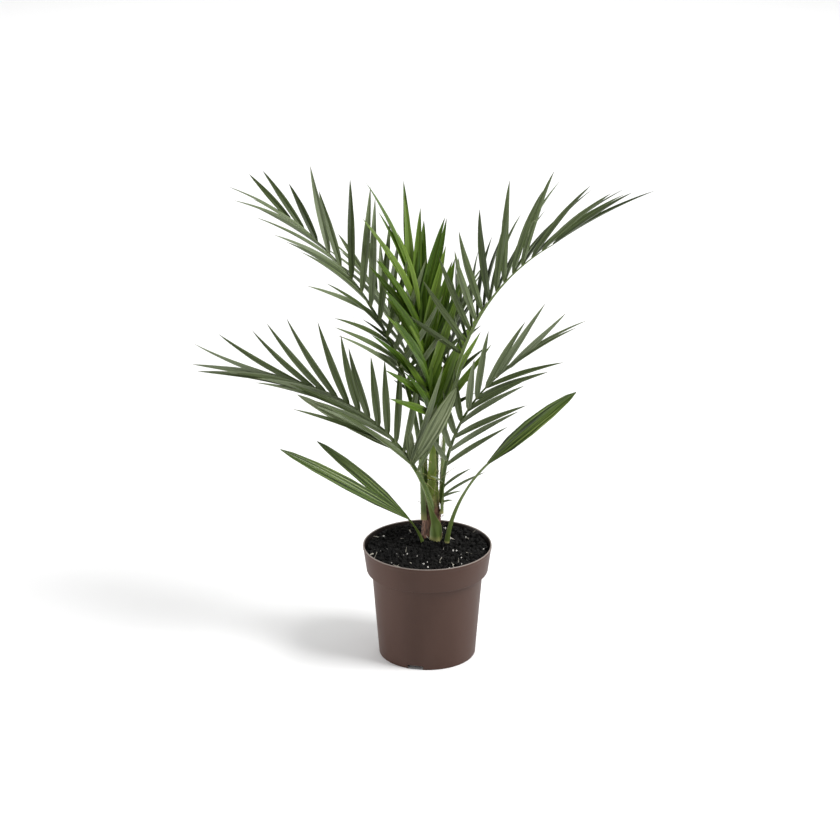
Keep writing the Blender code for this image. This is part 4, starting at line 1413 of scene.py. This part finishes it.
# --- Shed threads -----------------------------------------------------------------------------
# The margins of young leaflets dry into fine pale threads as they part. Some hang on for a while,
# each in a slack curve from the leaflet that shed it.
THREAD_EVERY = 9
THREAD_STEPS = 8
THREAD_LENGTH = 0.030
THREAD_RADIUS = 0.00014
THREAD_DROOP = 0.25
THREAD_STARTS = (0.1, 0.5)
THREAD_ASIDE = 0.5
THREAD_UNEVEN = (0.6, 1.0)
THREAD_SEED = 300
THREAD_COLOUR = (0.36, 0.40, 0.24)


def shed_threads(shapes, seed):
    chance = np.random.default_rng(seed)
    threads = []
    for base, heading, _, length, _ in shapes[::THREAD_EVERY]:
        thread = [base + heading * length * chance.uniform(*THREAD_STARTS)]
        aside = np.array([*chance.uniform(-THREAD_ASIDE, THREAD_ASIDE, 2), 0.0])
        for step in range(THREAD_STEPS):
            down = np.array([0.0, 0.0, THREAD_DROOP * (step + 1)])
            way = heading * (1 - step / THREAD_STEPS) + aside - down
            stretch = chance.uniform(*THREAD_UNEVEN)
            thread.append(thread[-1] + unit(way) * stretch * THREAD_LENGTH / THREAD_STEPS)
        threads.append(thread)
    return threads


threads = []
for number, shapes in enumerate(shapes_of.values()):
    threads.extend(shed_threads(shapes, THREAD_SEED + number))
thread_lines = fibre_object("shed_threads", threads, THREAD_RADIUS,
                            grain_finish("shed_thread", THREAD_COLOUR, darker=0.6))
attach(thread_lines, "root")

# --- Fused lobes ------------------------------------------------------------------------------
# The lowest leaflets of the front frond never parted: they stand up before the stalks as broad
# pleated lobes with pale veins, joined to the rib by their narrow feet.
LEAF_FUSED = ((0.045, 0.062, 0.020), (0.120, 0.152, 0.062), (0.260, 0.295, 0.165))
FUSED_FACING = (0.25, -1.0, 0.30)
# Each lobe: its place along the frond's rib, heading, lean, length and width
FUSED_LOBES = ((0.37, -16, 28, 0.112, 0.0190), (0.38, 165, 3, 0.043, 0.0105),
               (0.36, -20, 20, 0.085, 0.0080), (0.43, 190, 57, 0.146, 0.0125))

fused_lobes = joined("fused_lobes", [
    lobe(point_at(lines["front_left"], share), towards(heading, lean), np.array(FUSED_FACING), length, width)
    for share, heading, lean, length, width in FUSED_LOBES])
dress(fused_lobes, pleated_finish("fused_leaf", LEAF_FUSED, roughness=0.48), LOBE_CREASE)
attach(fused_lobes, "root")
